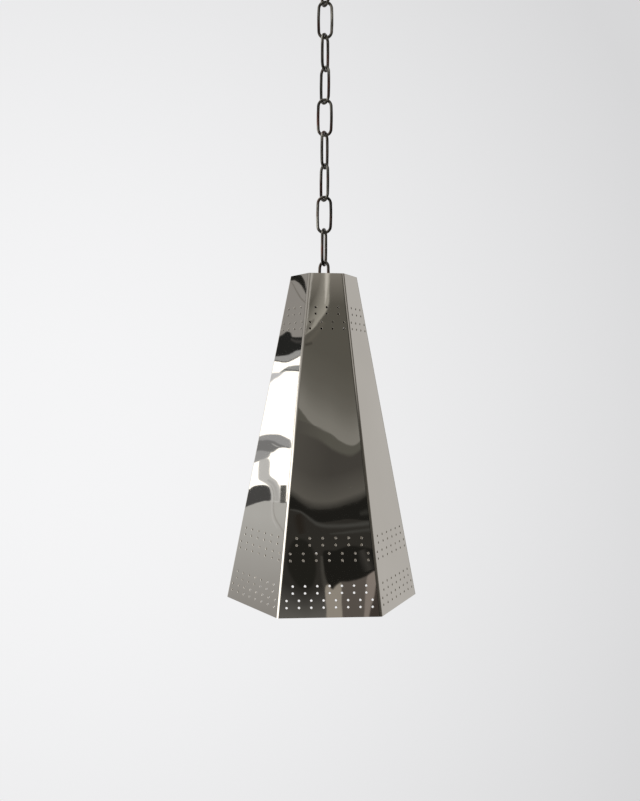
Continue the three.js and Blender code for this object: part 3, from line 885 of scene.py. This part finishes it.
def holder_cap():
    bottom, top, outside = round_size("holder_cap")
    shoulder = top - HOLDER_NECK
    dome_end = shoulder - HOLDER_DOME
    spigot = outside - HOLDER_WALL - SEAT
    height = HOLDER_DOME - HOLDER_WALL

    def dome(neck, wide, drop):
        return arc(neck, shoulder - drop - height, wide - neck, height, 90, 0, steps=12)

    outline = [
        (TUBE_CLEAR, top), (HOLDER_NECK_RADIUS, top), *dome(HOLDER_NECK_RADIUS, outside, 0),
        (outside, dome_end), (spigot, dome_end), (spigot, bottom), (spigot - HOLDER_WALL, bottom),
        *reversed(dome(TUBE_CLEAR, spigot - HOLDER_WALL, HOLDER_WALL)),
    ]
    turned("cap_dome", "holder_cap", outline, ease=0.35 * MM, steps=64)


def holder_body():
    bottom, top, outside = round_size("holder_body")
    inside = outside - HOLDER_WALL
    lip = inside - HOLDER_LIP
    outline = [
        (outside, top), (outside, bottom), (lip, bottom), (lip, bottom + HOLDER_WALL),
        (inside, bottom + HOLDER_WALL), (inside, top),
    ]
    turned("body_tube", "holder_body", outline, ease=0.5 * MM, steps=64)


def holder_core():
    bottom, top, outside = round_size("holder_core")
    sleeve = outside - CORE_WALL
    disc = top - CORE_DISC
    outline = [(0, top), (outside, top), (outside, bottom), (sleeve, bottom), (sleeve, disc), (0, disc)]
    core = revolved("core", eased(outline, ease=0.6 * MM, closed=False), steps=64)
    socket = rectangle(0, TERMINAL_SHANK + SEAT, top - TERMINAL_DEPTH - SEAT, top + SEAT)
    for side in (1, 2):
        hole = placed(revolved("socket", socket, steps=24), middle(f"terminal_screw_{side}").x, 0)
        combine(core, hole, "DIFFERENCE")
    dress(core, "holder_core")


def screw_shell():
    bottom, top, outside = round_size("screw_shell")
    outline = rows(outside - SHELL_WALL, top, bottom, CAP_ROW) + rows(outside, bottom, top, CAP_ROW)
    waves = thread(bottom, top, CAP_PITCH, -SHELL_THREAD)
    dress(revolved("shell", outline, steps=64, wave=waves), "screw_shell")


def centre_contact():
    """Sprung strip: flat where it is fixed, then down to the bulb's button."""
    low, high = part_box("centre_contact")
    half = high.x
    width = high.y - low.y
    line = [(-half, 0), (-half / 2, 0), (half / 4, -CONTACT_DROP), (half / 2, -CONTACT_DROP)]
    under = [(x, z - CONTACT_STRIP) for x, z in line]
    outline = eased([*line, *reversed(under)], ease=0.2 * MM)
    strip = plate("contact", [outline], -width / 2, width / 2, ease=0.12 * MM)
    strip.data.transform(Matrix.Rotation(math.pi / 2, 4, "X"))
    dress(placed(strip, 0, middle("centre_contact").y, high.z), "centre_contact")


# Bulb


def bulb_cap():
    bottom, top, outside = round_size("bulb_cap")
    shoulder = top - CAP_SHOULDER
    bore = INSULATOR_RADIUS - CAP_WALL
    outline = [
        (bore, top), (INSULATOR_RADIUS, top),
        *rows(outside, shoulder, bottom, CAP_ROW),
        *rows(outside - CAP_WALL, bottom, shoulder - CAP_WALL, CAP_ROW),
        (bore, top - CAP_WALL),
    ]
    waves = thread(bottom + NECK_IN_CAP, shoulder, CAP_PITCH, CAP_THREAD)
    dress(revolved("cap_shell", outline, steps=64, wave=waves), "bulb_cap")


def tapered_disc(name, node, top_radius, ease):
    bottom, top, radius = round_size(node)
    outline = [(0, top), (top_radius, top), (radius, bottom), (0, bottom)]
    turned(name, node, outline, ease, closed=False)


def bulb_insulator():
    tapered_disc("insulator", "bulb_insulator", BUTTON_RADIUS, ease=0.4 * MM)


def bulb_button():
    tapered_disc("button", "bulb_button", round_size("bulb_button")[2] / 2, ease=0.5 * MM)


def bulb_glass():
    bottom, top, radius = round_size("bulb_glass")
    neck = round_size("bulb_cap")[2] - CAP_WALL - SEAT

    def envelope(inset):
        """From the lowest point up to the neck's end."""
        ball = radius - inset
        line = arc(0, bottom + radius, ball, ball, -90, BALL_END, steps=24)
        start = Vector(line[-1])
        end = Vector((neck - inset, top - NECK_IN_CAP - SEAT))
        pull = (end - start).length * NECK_PULL
        turn = math.radians(BALL_END)
        first = start + Vector((-math.sin(turn), math.cos(turn))) * pull
        neck_curve = interpolate_bezier(start, first, end - Vector((0, pull)), end, GLASS_NECK_POINTS)
        return [(0, bottom + inset), *line[1:], *neck_curve[1:], (neck - inset, top)]

    outline = [*envelope(0), *reversed(envelope(GLASS_WALL))]
    dress(revolved("glass", outline, steps=64), "bulb_glass")


shade_panels()
carrier_plate()
chain()
eye_nut("ceiling_eye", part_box("ceiling_eye")[1].z, -1, wire_turn("link_01_swing"))
eye_nut("shade_eye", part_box("shade_eye")[0].z, 1, wire_turn("shade_swing") + math.pi / 2)
ceiling_bracket()
canopy()
canopy_tube()
holder_tube()
nut("bracket_nut", TUBE_CLEAR)
nut("tube_nut", TUBE_CLEAR)
nut("earth_nut", EARTH_SHANK + SEAT)
washer()
screw("earth_screw", EARTH_HEAD, EARTH_SHANK)
for side in (1, 2):
    screw(f"terminal_screw_{side}", TERMINAL_HEAD, TERMINAL_SHANK)
holder_cap()
holder_body()
holder_core()
screw_shell()
centre_contact()
bulb_cap()
bulb_insulator()
bulb_button()
bulb_glass()


# Stage: what stands round the lamp is seen only mirrored in it


def card_light(color):
    """Light that looks this colour, 0 to 255, mirrored in the nickel. None is a window's.

    A card's cover, from 0 to 1, says how much of it hides what stands behind it.
    """
    if color is None:
        name, light = "window", (WINDOW_LIGHT,) * 3
    else:
        name = "card_{}_{}_{}".format(*color)
        light = [part / shine for part, shine in zip(linear(*color), NICKEL_SHINE)]
    material = bpy.data.materials.new(name)
    material.use_nodes = True
    material.cycles.emission_sampling = "NONE"
    tree = material.node_tree
    tree.nodes.clear()
    nodes = Nodes(tree)
    lit = nodes.add("Emission", "Emission", {"Color": (*light, 1), "Strength": 1.0})
    clear = nodes.add("BsdfTransparent", "BSDF")
    cover = nodes.add("Attribute", "Fac", attribute_name="cover")
    mix = nodes.add("MixShader", "Shader", {"Fac": cover, 1: clear, 2: lit})
    nodes.feed(tree.nodes.new("ShaderNodeOutputMaterial"), {"Surface": mix})
    return material


def camera_turn():
    level = math.cos(CAMERA_PITCH)
    aim = Vector(
        (math.sin(CAMERA_HEADING) * level, math.cos(CAMERA_HEADING) * level, math.sin(CAMERA_PITCH))
    )
    return aim.to_track_quat("-Z", "Y") @ Matrix.Rotation(CAMERA_ROLL, 3, "Z").to_quaternion()


CAMERA_TURN = camera_turn()


def sight(x, y):
    """The direction in which the camera sees this place of the photograph, in its pixels."""
    ray = Vector((x - PHOTO_WIDTH / 2, PHOTO_HEIGHT / 2 - y, -FOCAL_PIXELS))
    return (CAMERA_TURN @ ray).normalized()


class Mirror:
    """A panel of the shade, by the heading in degrees from +X that it faces."""

    def __init__(self, heading, middle_x, middle_y):
        turn = math.radians(heading)
        face = Vector((math.cos(turn), math.sin(turn), 0))
        self.normal = face * math.cos(LEAN) + Vector((0, 0, math.sin(LEAN)))
        self.spot = face * apothem(RIM_SIDE) + Vector((0, 0, RIM_Z))
        self.middle = self.on_panel(middle_x, middle_y)
        self.aim = sight(middle_x, middle_y).reflect(self.normal)

    def on_panel(self, x, y):
        ray = sight(x, y)
        return CAMERA_SPOT + ray * ((self.spot - CAMERA_SPOT).dot(self.normal) / ray.dot(self.normal))

    def behind(self, x, y, reach):
        """Where a thing stands that is seen mirrored at this place of the photograph.

        reach is how far the thing's plane lies from the panel's middle, in metres.
        """
        start = self.on_panel(x, y)
        ray = sight(x, y).reflect(self.normal)
        return start + ray * ((reach + (self.middle - start).dot(self.aim)) / ray.dot(self.aim))


def between(ends, share):
    """Catmull-Rom: a place on the stretch between the second and third of four points."""
    return tuple(
        0.5 * (
            2 * b + (c - a) * share + (2 * a - 5 * b + 4 * c - d) * share**2
            + (3 * b - a - 3 * c + d) * share**3
        )
        for a, b, c, d in zip(*ends)
    )


def curved(points):
    """A smooth line from the first point to the last, which may have any number of values."""
    ends = [points[0], *points, points[-1]]
    line = []
    for i in range(CURVE_STEPS + 1):
        place = i * (len(points) - 1) / CURVE_STEPS
        whole = min(int(place), len(points) - 2)
        line.append(between(ends[whole : whole + 4], place - whole))
    return line


def mesh_object(name, points, faces, material):
    data = bpy.data.meshes.new(name)
    data.from_pydata(points, [], faces)
    data.materials.append(material)
    obj = object_from(name, data)
    return obj


def card(name, points, faces, covers, color):
    """A card seen only in the lamp's own reflections."""
    obj = mesh_object(name, points, faces, card_light(color))
    cover = obj.data.attributes.new("cover", "FLOAT", "POINT")
    cover.data.foreach_set("value", covers)
    obj.visible_camera = False
    obj.visible_diffuse = False
    obj.visible_shadow = False


def lit_sheet(name, lines, covers, color):
    """A card through lines with as many points each."""
    columns = len(lines[0])
    faces = [
        (r * columns + i, r * columns + i + 1, (r + 1) * columns + i + 1, (r + 1) * columns + i)
        for r in range(len(lines) - 1)
        for i in range(columns - 1)
    ]
    points = [point for line in lines for point in line]
    card(name, points, faces, [value for value in covers for _ in range(columns)], color)


def veil(name, panel, reach, color, edges, covers=(1, 1)):
    """A card through curved edges. Its cover changes evenly from each edge to the next."""
    lines = [[panel.behind(x, y, reach) for x, y in curved(edge)] for edge in edges]
    lit_sheet(name, lines, covers, color)


def patch(name, panel, reach, color, outline, soft, steps=4):
    """A card with a curved outline, which fades over a soft rim of that many pixels."""
    count = len(outline)
    line = []
    for i in range(count):
        ends = [outline[(i + k) % count] for k in (-1, 0, 1, 2)]
        line += [Vector(between(ends, step / steps)) for step in range(steps)]
    ahead = line[1:] + line[:1]
    inner, outer = [], []
    for point, before, after in zip(line, line[-1:] + line, ahead):
        along = (after - before).normalized()
        aside = Vector((-along.y, along.x)) * soft / 2
        inner.append(point + aside)
        outer.append(point - aside)
    if sum(a.cross(b) for a, b in zip(line, ahead)) < 0:
        inner, outer = outer, inner
    points = [panel.behind(x, y, reach) for x, y in (*inner, *outer)]
    size = len(line)
    faces = [tuple(range(size))]
    faces += [(i, i + size, (i + 1) % size + size, (i + 1) % size) for i in range(size)]
    card(name, points, faces, [1] * size + [0] * size, color)


def stroke(name, panel, reach, color, line, soft):
    """A curved strip of (x, y, width). soft is the share of it that fades at each side."""
    smooth_line = curved(line)
    sides = [[], [], [], []]
    for i, (x, y, width) in enumerate(smooth_line):
        before = smooth_line[max(i - 1, 0)]
        after = smooth_line[min(i + 1, len(smooth_line) - 1)]
        ahead = Vector((after[0] - before[0], after[1] - before[1])).normalized()
        for side, share in zip(sides, (-0.5, soft - 0.5, 0.5 - soft, 0.5)):
            aside = share * width
            side.append(panel.behind(x - ahead.y * aside, y + ahead.x * aside, reach))
    lit_sheet(name, sides, (0, 1, 1, 0), color)


def curtain(name, headings, heights, reach, color, fade):
    """A card bent round the lamp, between two headings from +X and two heights, in degrees."""
    centre = Vector((0, 0, (RIM_Z + HEM_Z) / 2))
    low, high = heights
    lines = []
    for height in (low - fade, low, high, high + fade):
        lift = math.tan(math.radians(height))
        around = arc(0, 0, 1, 1, *headings, CURVE_STEPS)
        lines.append([centre + reach * Vector((x, y, lift)) for x, y in around])
    lit_sheet(name, lines, (0, 1, 1, 0), color)


def ground():
    around = [arc(0, 0, radius, radius, 0, 360, steps=64) for radius in GROUND_RADII]
    rings = [[Vector((x, y, GROUND_Z)) for x, y in ring] for ring in around]
    lit_sheet("ground", rings, covers=(0, 1, 1, 0), color=(112, 108, 100))


# What the folds, the edges of the holes and the other sides of the lamp mirror. A row has its
# headings and heights in degrees, its distance in metres, its colour as seen mirrored and the
# degrees over which it fades.
CURTAINS = {
    "window": ((156, 243), (-6, 15), 3.1, None, 2),
    "pale_wall": ((156, 243), (12, 31), 3.15, (146, 142, 135), 3),
    "high_window": ((150, 243), (33, 62), 3.2, None, 3),
    "dim_wall": ((243, 283), (-30, 50), 3.15, (104, 99, 91), 8),
    "pale_side": ((283, 324), (21, 45), 3.1, (152, 147, 139), 4),
    "dark_side": ((283, 324), (-40, 60), 3.2, (56, 53, 47), 6),
    "dim_side": ((324, 388), (-40, 60), 3.2, (84, 80, 73), 6),
}

# The tables below draw what a panel of the shade mirrors. A row starts with the card's distance
# in metres, which puts it before or behind the others, and its colour as seen mirrored. Then
# come its lines, in the photograph's pixels.


def moved(edge, right, down):
    return [(x + right, y + down) for x, y in edge]


# The light of a standing lamp runs down the upper half of the front panel
LAMP_RIDGE = [
    (329.6, 266), (329.2, 280), (328.8, 292), (328.4, 302), (326.5, 309), (323, 315), (318, 321.5),
    (312.5, 328.5), (303, 336),
]
LAMP_FAR_SIDE = [
    (322, 266), (320, 280), (317, 292), (311.5, 302), (307, 309), (303, 316), (299, 323), (296, 330),
    (292, 338),
]
LAMP_COLOR = (150, 146, 135)

# A broad light sweeps across the middle, brightest along its lower edge
SWEEP_TOP = [
    (292, 400), (300, 410), (305, 416.5), (310, 423), (320, 429.5), (330, 434), (340, 441.5), (350, 446),
    (357, 444.5), (364, 437.5), (372, 430),
]
SWEEP_FOOT = [
    (290, 422), (300, 431), (305, 433), (310, 434.5), (320, 438.5), (330, 446), (340, 451), (350, 453.5),
    (357, 450.5), (364, 444), (372, 439),
]
SWEEP_EDGES = [moved(SWEEP_TOP, 0, -rise) for rise in (0, 12, 22, 34, 50, 78)]
BAND_COLOR = (84, 82, 74)

# A black shelf line sags under a glow
SHELF = [
    (282, 489), (290, 495), (296, 499), (302, 503.5), (309, 507.5), (316, 509.5), (325, 509.5),
    (333, 508.5), (340, 507), (347, 504.5), (354, 502), (361, 499.5), (368, 495), (378, 488),
]
UNDER_SHELF = [
    (284, 508), (296, 509.5), (302, 513), (308, 517.5), (315, 521.5), (325, 522), (335, 520.5),
    (345, 519), (355, 519.5), (368, 521), (380, 518),
]
SHELF_EDGES = [moved(SHELF, 0, drop) for drop in (-8, -5, -2, 1, 4)]
SHELF_COLOR = (28, 27, 24)

# The floor near the front panel's hem, and the foot of the wall in the left one
FLOOR_FAR = [(266, 572), (290, 586), (305, 592), (316, 588), (330, 584)]
FLOOR_LINE = [(266, 592), (290, 600), (305, 606), (316, 602), (330, 600)]
FLOOR_NEAR = [
    [(266, 616), (290, 618), (305, 620), (316, 620), (330, 620)],
    [(266, 700), (290, 700), (305, 700), (316, 700), (330, 700)],
]
WALL_LINE = [(190, 516), (320, 516)]

# A veil runs through its edges. Its row ends with the cover at each of them.
FRONT_VEILS = {
    "room": (2.9, (83, 80, 72), [[(240, 200), (430, 200)], [(240, 700), (430, 700)]]),
    "upper_wall": (2.85, (124, 119, 110), [[(290, 266), (365, 266)], [(290, 304), (365, 304)]], (1, 0)),
    "lamp_strip": (2.6, LAMP_COLOR, [LAMP_RIDGE, LAMP_FAR_SIDE], (1, 0)),
    "lamp_edge": (2.6, LAMP_COLOR, [LAMP_RIDGE, moved(LAMP_RIDGE, 1.2, 0.6)], (1, 0)),
    "sweep": (2.7, (123, 120, 112), SWEEP_EDGES, (1, 0.86, 0.6, 0.32, 0.14, 0)),
    "band_rim": (2.66, BAND_COLOR, [moved(SWEEP_TOP, 0, -1.5), SWEEP_TOP], (0, 1)),
    "band": (2.65, BAND_COLOR, [SWEEP_TOP, SWEEP_FOOT]),
    "low_room": (2.65, (64, 61, 56), [SWEEP_FOOT, [(250, 700), (420, 700)]]),
    "band_edge": (2.6, BAND_COLOR, [SWEEP_FOOT, moved(SWEEP_FOOT, 0, 4)], (1, 0)),
    "low_left": (2.58, (76, 73, 67), [[(298, 420), (288, 500)], [(328, 430), (330, 500)]], (1, 0)),
    "glow": (2.5, (90, 87, 80), [moved(SHELF, 0, 2), moved(SHELF, 0, -34)], (1, 0)),
    "under_shelf": (2.5, (44, 42, 38), [SHELF, [(240, 700), (420, 700)]]),
    "shelf": (2.4, SHELF_COLOR, [moved(SHELF, 0, 3.5), UNDER_SHELF]),
    "shelf_rim": (2.35, SHELF_COLOR, SHELF_EDGES, (0, 0.33, 0.65, 0.87, 1)),
    "far_floor": (2.45, (66, 64, 60), [FLOOR_FAR, FLOOR_LINE], (0, 1)),
    "near_floor": (2.45, (88, 86, 81), [FLOOR_LINE, *FLOOR_NEAR], (0.45, 1, 1)),
}
LEFT_VEILS = {
    "wall": (2.9, (134, 130, 124), [[(200, 200), (330, 200)], [(180, 700), (330, 700)]]),
    "light_wall": (2.85, (167, 165, 159), [[(200, 420), (320, 420)], WALL_LINE]),
    "wall_foot": (2.85, (167, 165, 159), [WALL_LINE, [(180, 612), (320, 612)]], (1, 0)),
}

# A stroke's points have its width too. Its row ends with the share that fades at each side.
FRONT_STROKES = {
    "lamp_shine": (2.55, (184, 179, 169), [
        (327.4, 262, 6.5), (327.2, 274, 6), (326.6, 283, 4.5), (326, 294, 3), (324.8, 304, 1),
    ], 0.4),
    "lamp_foot": (2.7, (90, 86, 77), [(324, 322, 6), (317, 332, 7), (308, 342, 7)], 0.5),
    "lamp_end": (2.58, (100, 96, 88), [(314, 319, 2), (309, 326, 7), (302, 335, 9)], 0.5),
    "dark_spot": (2.6, (62, 59, 52), [(305, 345, 4), (312, 343, 4)], 0.5),
    "fold_side": (2.5, (158, 154, 146), [
        (312.4, 262, 4.6), (311.4, 276, 3.8), (309.6, 290, 3), (308, 306, 2.4), (306, 322, 1.8),
        (303, 344, 0.8),
    ], 0.35),
    "shelf_end": (2.3, (48, 47, 43), [(360, 514, 6), (368, 512, 9), (378, 509, 12)], 0.5),
    "shelf_light": (2.3, (64, 63, 59), [
        (290, 509.5, 2), (300, 511.5, 3), (307, 516, 3.5), (313, 521, 4.5), (320, 525, 5.5),
        (332, 526, 6), (345, 525.5, 6), (358, 524.5, 6), (374, 523, 7),
    ], 0.45),
    "second_light": (2.3, (58, 57, 53), [(330, 534, 2), (350, 532, 4), (376, 529, 6)], 0.45),
    "brown": (2.4, (38, 34, 29), [(298, 514, 12), (300, 524, 14), (302, 534, 10)], 0.4),
    "gap": (2.42, (62, 60, 55), [(322, 556, 4), (323, 572, 6), (326, 590, 7)], 0.4),
    "right_dim": (2.32, (52, 50, 46), [(362, 550, 10), (366, 560, 14), (370, 570, 14)], 0.5),
}

LEFT_STROKES = {
    "rim_line": (2.5, (106, 102, 94), [
        (291, 282, 1.2), (294, 287, 1.6), (300, 297, 1.8), (306, 304, 1.4),
    ], 0.4),
    "shape_light": (2.35, (62, 60, 57), [(291, 339, 3), (297, 341.5, 5), (308, 341.5, 5)], 0.5),
    "sill_line": (2.45, (74, 73, 70), [
        (264, 359, 1.6), (276, 360.7, 1.6), (284, 361.9, 1.6), (290, 360.9, 1.6), (295, 358.3, 1.5),
        (301, 355, 1.3), (310, 351, 1),
    ], 0.3),
    "arc_line": (2.35, (74, 73, 70), [(283.5, 369.3, 1), (290, 369.9, 1.4), (306, 371.6, 1.6)], 0.3),
    "hood_streak": (2.36, (160, 158, 154), [(271.5, 443.2, 1), (275, 445.6, 2), (279, 446.6, 1)], 0.4),
    "column_shade": (2.3, (164, 162, 157), [
        (267, 480, 3), (272, 483, 5), (275.5, 488.5, 5.5), (276.6, 496, 5.5), (276.6, 501, 5),
    ], 0.4),
    "column_line": (2.28, (152, 150, 143), [(270, 485, 1), (273, 491, 1.6), (273.8, 500, 1.8)], 0.4),
    "strip_light": (2.28, (176, 173, 168), [
        (271.6, 502, 2.2), (271.4, 512, 2.2), (273, 520, 2), (277, 528, 1),
    ], 0.4),
    "strip_line": (2.27, (146, 143, 136), [
        (273.4, 498, 1), (273.2, 506, 1.2), (273.6, 512.5, 1.5), (276.2, 520.5, 1.8), (281.8, 529.3, 1.8),
        (287, 537, 1),
    ], 0.4),
}

# A patch's row ends with the width of its soft rim in pixels, and with its steps from point to
# point where they aren't 4.
FRONT_PATCHES = {
    "left_shape": (2.4, (31, 30, 26), [
        (293, 541), (305, 540), (312, 548), (316, 562), (316, 575), (312, 586), (304, 589), (296, 584),
        (289, 572), (287, 558),
    ], 3),
    "right_shape": (2.35, (27, 26, 23), [
        (324, 551), (335, 550.5), (350, 546), (362, 547), (372, 549), (380, 552), (382, 566), (372, 572),
        (366, 576), (358, 579.5), (350, 581.5), (342, 582), (337, 585), (332, 589.5), (328, 584),
        (325, 574), (323.5, 562),
    ], 1.6),
    "right_floor": (2.4, (84, 78, 72), [(340, 576), (382, 560), (390, 630), (341, 630)], 0.8, 2),
    "post": (2.38, (138, 131, 120), [
        (326, 586), (333, 583), (340.5, 578), (341.6, 600), (342, 640), (327.5, 640), (327, 610),
        (325, 596),
    ], 1, 2),
    "slant": (2.37, (124, 115, 107), [
        (368, 574), (377, 568), (379, 580), (377, 592), (372.5, 602), (370, 613), (368, 640),
        (362.5, 640), (364.6, 606), (366, 590),
    ], 1.4),
    "corner_shade": (2.33, (60, 54, 49), [
        (378.5, 584), (394, 640), (367.5, 640), (370, 613), (373.5, 601),
    ], 1.2, 3),
}

LEFT_PATCHES = {
    "window_left": (2.7, None, [
        (262, 358), (276, 360.5), (284, 362), (290, 361), (295, 358.5), (301, 355), (312, 350),
        (306, 420), (296, 500), (284, 500), (268, 498.5), (252, 500), (236, 503), (236, 460),
    ], 0.8, 3),
    "corner": (2.4, (30, 29, 26), [
        (290, 274), (300, 275), (303.2, 277.5), (304.8, 281), (305.8, 286), (306.4, 291), (306, 294.5),
        (304.3, 291), (302.6, 287.8), (300.3, 284.5), (297.3, 282), (294, 280.4), (290, 280.4),
    ], 0.7),
    "shape": (2.4, (34, 34, 32), [
        (268, 341), (279, 336.5), (283, 334), (286, 331.8), (289, 331.6), (291.3, 333.3), (292.3, 336.6),
        (296, 337.2), (302, 337), (309, 336), (309, 347), (302, 349.5), (296, 351), (292, 353.5),
        (288, 355), (283, 355.7), (268, 355.5),
    ], 1),
    "sill": (2.5, (144, 143, 140), [
        (264, 354), (283, 354), (292, 352), (302, 348), (312, 346), (312, 351), (301, 354.8), (295, 358),
        (290, 360.7), (284, 361.7), (276, 360.5), (264, 359),
    ], 0.8),
    "arc": (2.4, (138, 138, 135), [
        (306, 364.5), (298, 365), (293, 365.3), (289, 366.4), (285.5, 368), (282, 370.4), (279.5, 372.6),
        (283, 372.4), (286, 371.4), (290, 371), (298, 371.2), (306, 372),
    ], 0.8),
    "arc_end": (2.42, (186, 185, 184), [
        (282, 370.4), (279, 372.4), (273, 372.6), (268, 376), (268, 384), (274, 379.5), (280, 376),
        (283, 372.8),
    ], 1.4),
    "hood": (2.4, (146, 145, 143), [
        (250, 440), (258, 437), (263, 435), (272, 434.2), (279, 434.6), (284, 436.4), (288, 438.4),
        (291, 440.4), (291.3, 448), (285, 447.6), (280, 447.7), (277, 449), (274, 451.4), (270.5, 453),
        (269, 456), (266, 458.6), (262, 460), (250, 462),
    ], 0.8),
    "hood_shade": (2.38, (115, 114, 112), [
        (250, 441), (262, 440.4), (268, 440), (274, 441.3), (279, 444), (285, 446.2), (290, 447.6),
        (284, 447.3), (279, 447.3), (276, 448.9), (273.5, 451), (268, 451.5), (260, 450.5), (250, 452),
    ], 1.4),
    "column": (2.36, (181, 179, 174), [
        (262, 459.5), (266, 458.6), (269, 460), (269.2, 470), (269.4, 475), (272.5, 478), (276, 480.5),
        (278.4, 484.5), (279.8, 488.5), (280, 498), (280, 502), (270.4, 502), (270.4, 496), (270, 490.5),
        (268.6, 486.6), (265, 483.4), (262, 481.4), (258.6, 479), (258.4, 470), (259.4, 461),
    ], 0.8),
    "bar_left": (2.34, (68, 67, 65), [
        (240, 494), (249, 489.6), (252.5, 487), (257, 485.4), (262, 484.9), (266, 485.4), (268.8, 487.4),
        (270.2, 491), (270.6, 500), (264.5, 501), (259.6, 502.1), (253.8, 504), (250, 505.6), (240, 508),
    ], 0.7),
    "bar_right": (2.34, (84, 83, 79), [(280.2, 485.4), (286.6, 485), (286, 502.8), (280, 503)], 0.7, 1),
}


def mirrored_in(panel, veils, strokes, patches):
    for draw, table in ((veil, veils), (stroke, strokes), (patch, patches)):
        for name, row in table.items():
            draw(name, panel, *row)


def backdrop():
    """World: a pale wall for the camera and for reflections, with painted light that makes it lighter
    towards one side and darker away from it, and plain light for the rest.
    """
    world = bpy.data.worlds.new("studio")
    bpy.context.scene.world = world
    world.use_nodes = True
    tree = world.node_tree
    tree.nodes.clear()
    nodes = Nodes(tree)
    aim = {0: nodes.add("TexCoord", "Generated"), 1: PAINTED_LIGHT_SIDE}
    toward = nodes.add("VectorMath", "Value", aim, operation="DOT_PRODUCT")
    # Painted light: the wall's grey runs from darker to lighter towards the lit side
    bright = nodes.spread(toward, 0, 1, start=math.cos(PAINTED_LIGHT_ANGLE))
    wall = {"Color": nodes.ramp(bright, {0: (215, 215, 216), 1: (245, 245, 246)})}
    plain = {"Color": (1, 1, 1, 1), "Strength": PLAIN_LIGHT}
    seen = nodes.add("LightPath", "Is Camera Ray")
    for ray in ("Is Glossy Ray", "Is Transmission Ray"):
        either = {0: seen, 1: nodes.add("LightPath", ray)}
        seen = nodes.add("Math", "Value", either, operation="MAXIMUM")
    sides = {
        "Fac": seen,
        1: nodes.add("Background", "Background", plain),
        2: nodes.add("Background", "Background", wall),
    }
    mix = nodes.add("MixShader", "Shader", sides)
    nodes.feed(tree.nodes.new("ShaderNodeOutputWorld"), {"Surface": mix})


def floor():
    """A pale floor far below the hanging lamp. It fades into the backdrop at its edge."""
    nodes = Finish("floor")
    distance = nodes.add("VectorMath", "Value", {0: nodes.place}, operation="LENGTH")
    material = nodes.shade(
        Base_Color=nodes.ramp(nodes.noise(scale=0.6), {0.3: (236, 236, 237), 0.7: (240, 239, 240)}),
        Roughness=0.9,
        Specular_IOR_Level=0.0,
        Alpha=nodes.spread(distance, 0, 1, start=FLOOR_RADIUS, end=0.5 * FLOOR_RADIUS),
    )
    rim = [(x, y, 0) for x, y in circle(FLOOR_RADIUS, steps=64)]
    mesh_object("floor", rim, [range(len(rim))], material).location.z = FLOOR_Z


def aimed(name, data, spot, turn):
    obj = object_from(name, data)
    obj.location = spot
    obj.rotation_mode = "QUATERNION"
    obj.rotation_quaternion = turn
    return obj


def studio_lamp(name, spot, size, power):
    data = bpy.data.lights.new(name, "AREA")
    data.shape = "DISK"
    data.size = size
    data.energy = power
    obj = aimed(name, data, spot, (LAMP_AIM - Vector(spot)).to_track_quat("-Z", "Y"))
    obj.visible_glossy = False
    obj.visible_camera = False


def camera():
    data = bpy.data.cameras.new("camera")
    data.sensor_width = SENSOR
    data.lens = FOCAL_PIXELS / max(PHOTO_WIDTH, PHOTO_HEIGHT) * SENSOR
    bpy.context.scene.camera = aimed("camera", data, CAMERA_SPOT, CAMERA_TURN)


backdrop()
floor()
for name, row in CURTAINS.items():
    curtain(name, *row)
ground()
mirrored_in(Mirror(heading=270, middle_x=330, middle_y=450), FRONT_VEILS, FRONT_STROKES, FRONT_PATCHES)
mirrored_in(Mirror(heading=210, middle_x=277, middle_y=450), LEFT_VEILS, LEFT_STROKES, LEFT_PATCHES)
studio_lamp("key", spot=(-1.6, -1.4, 0.8), size=1.2, power=26)
studio_lamp("fill", spot=(1.6, -1.2, 0.2), size=1.6, power=10)
camera()
bpy.context.scene.view_settings.view_transform = "Standard"
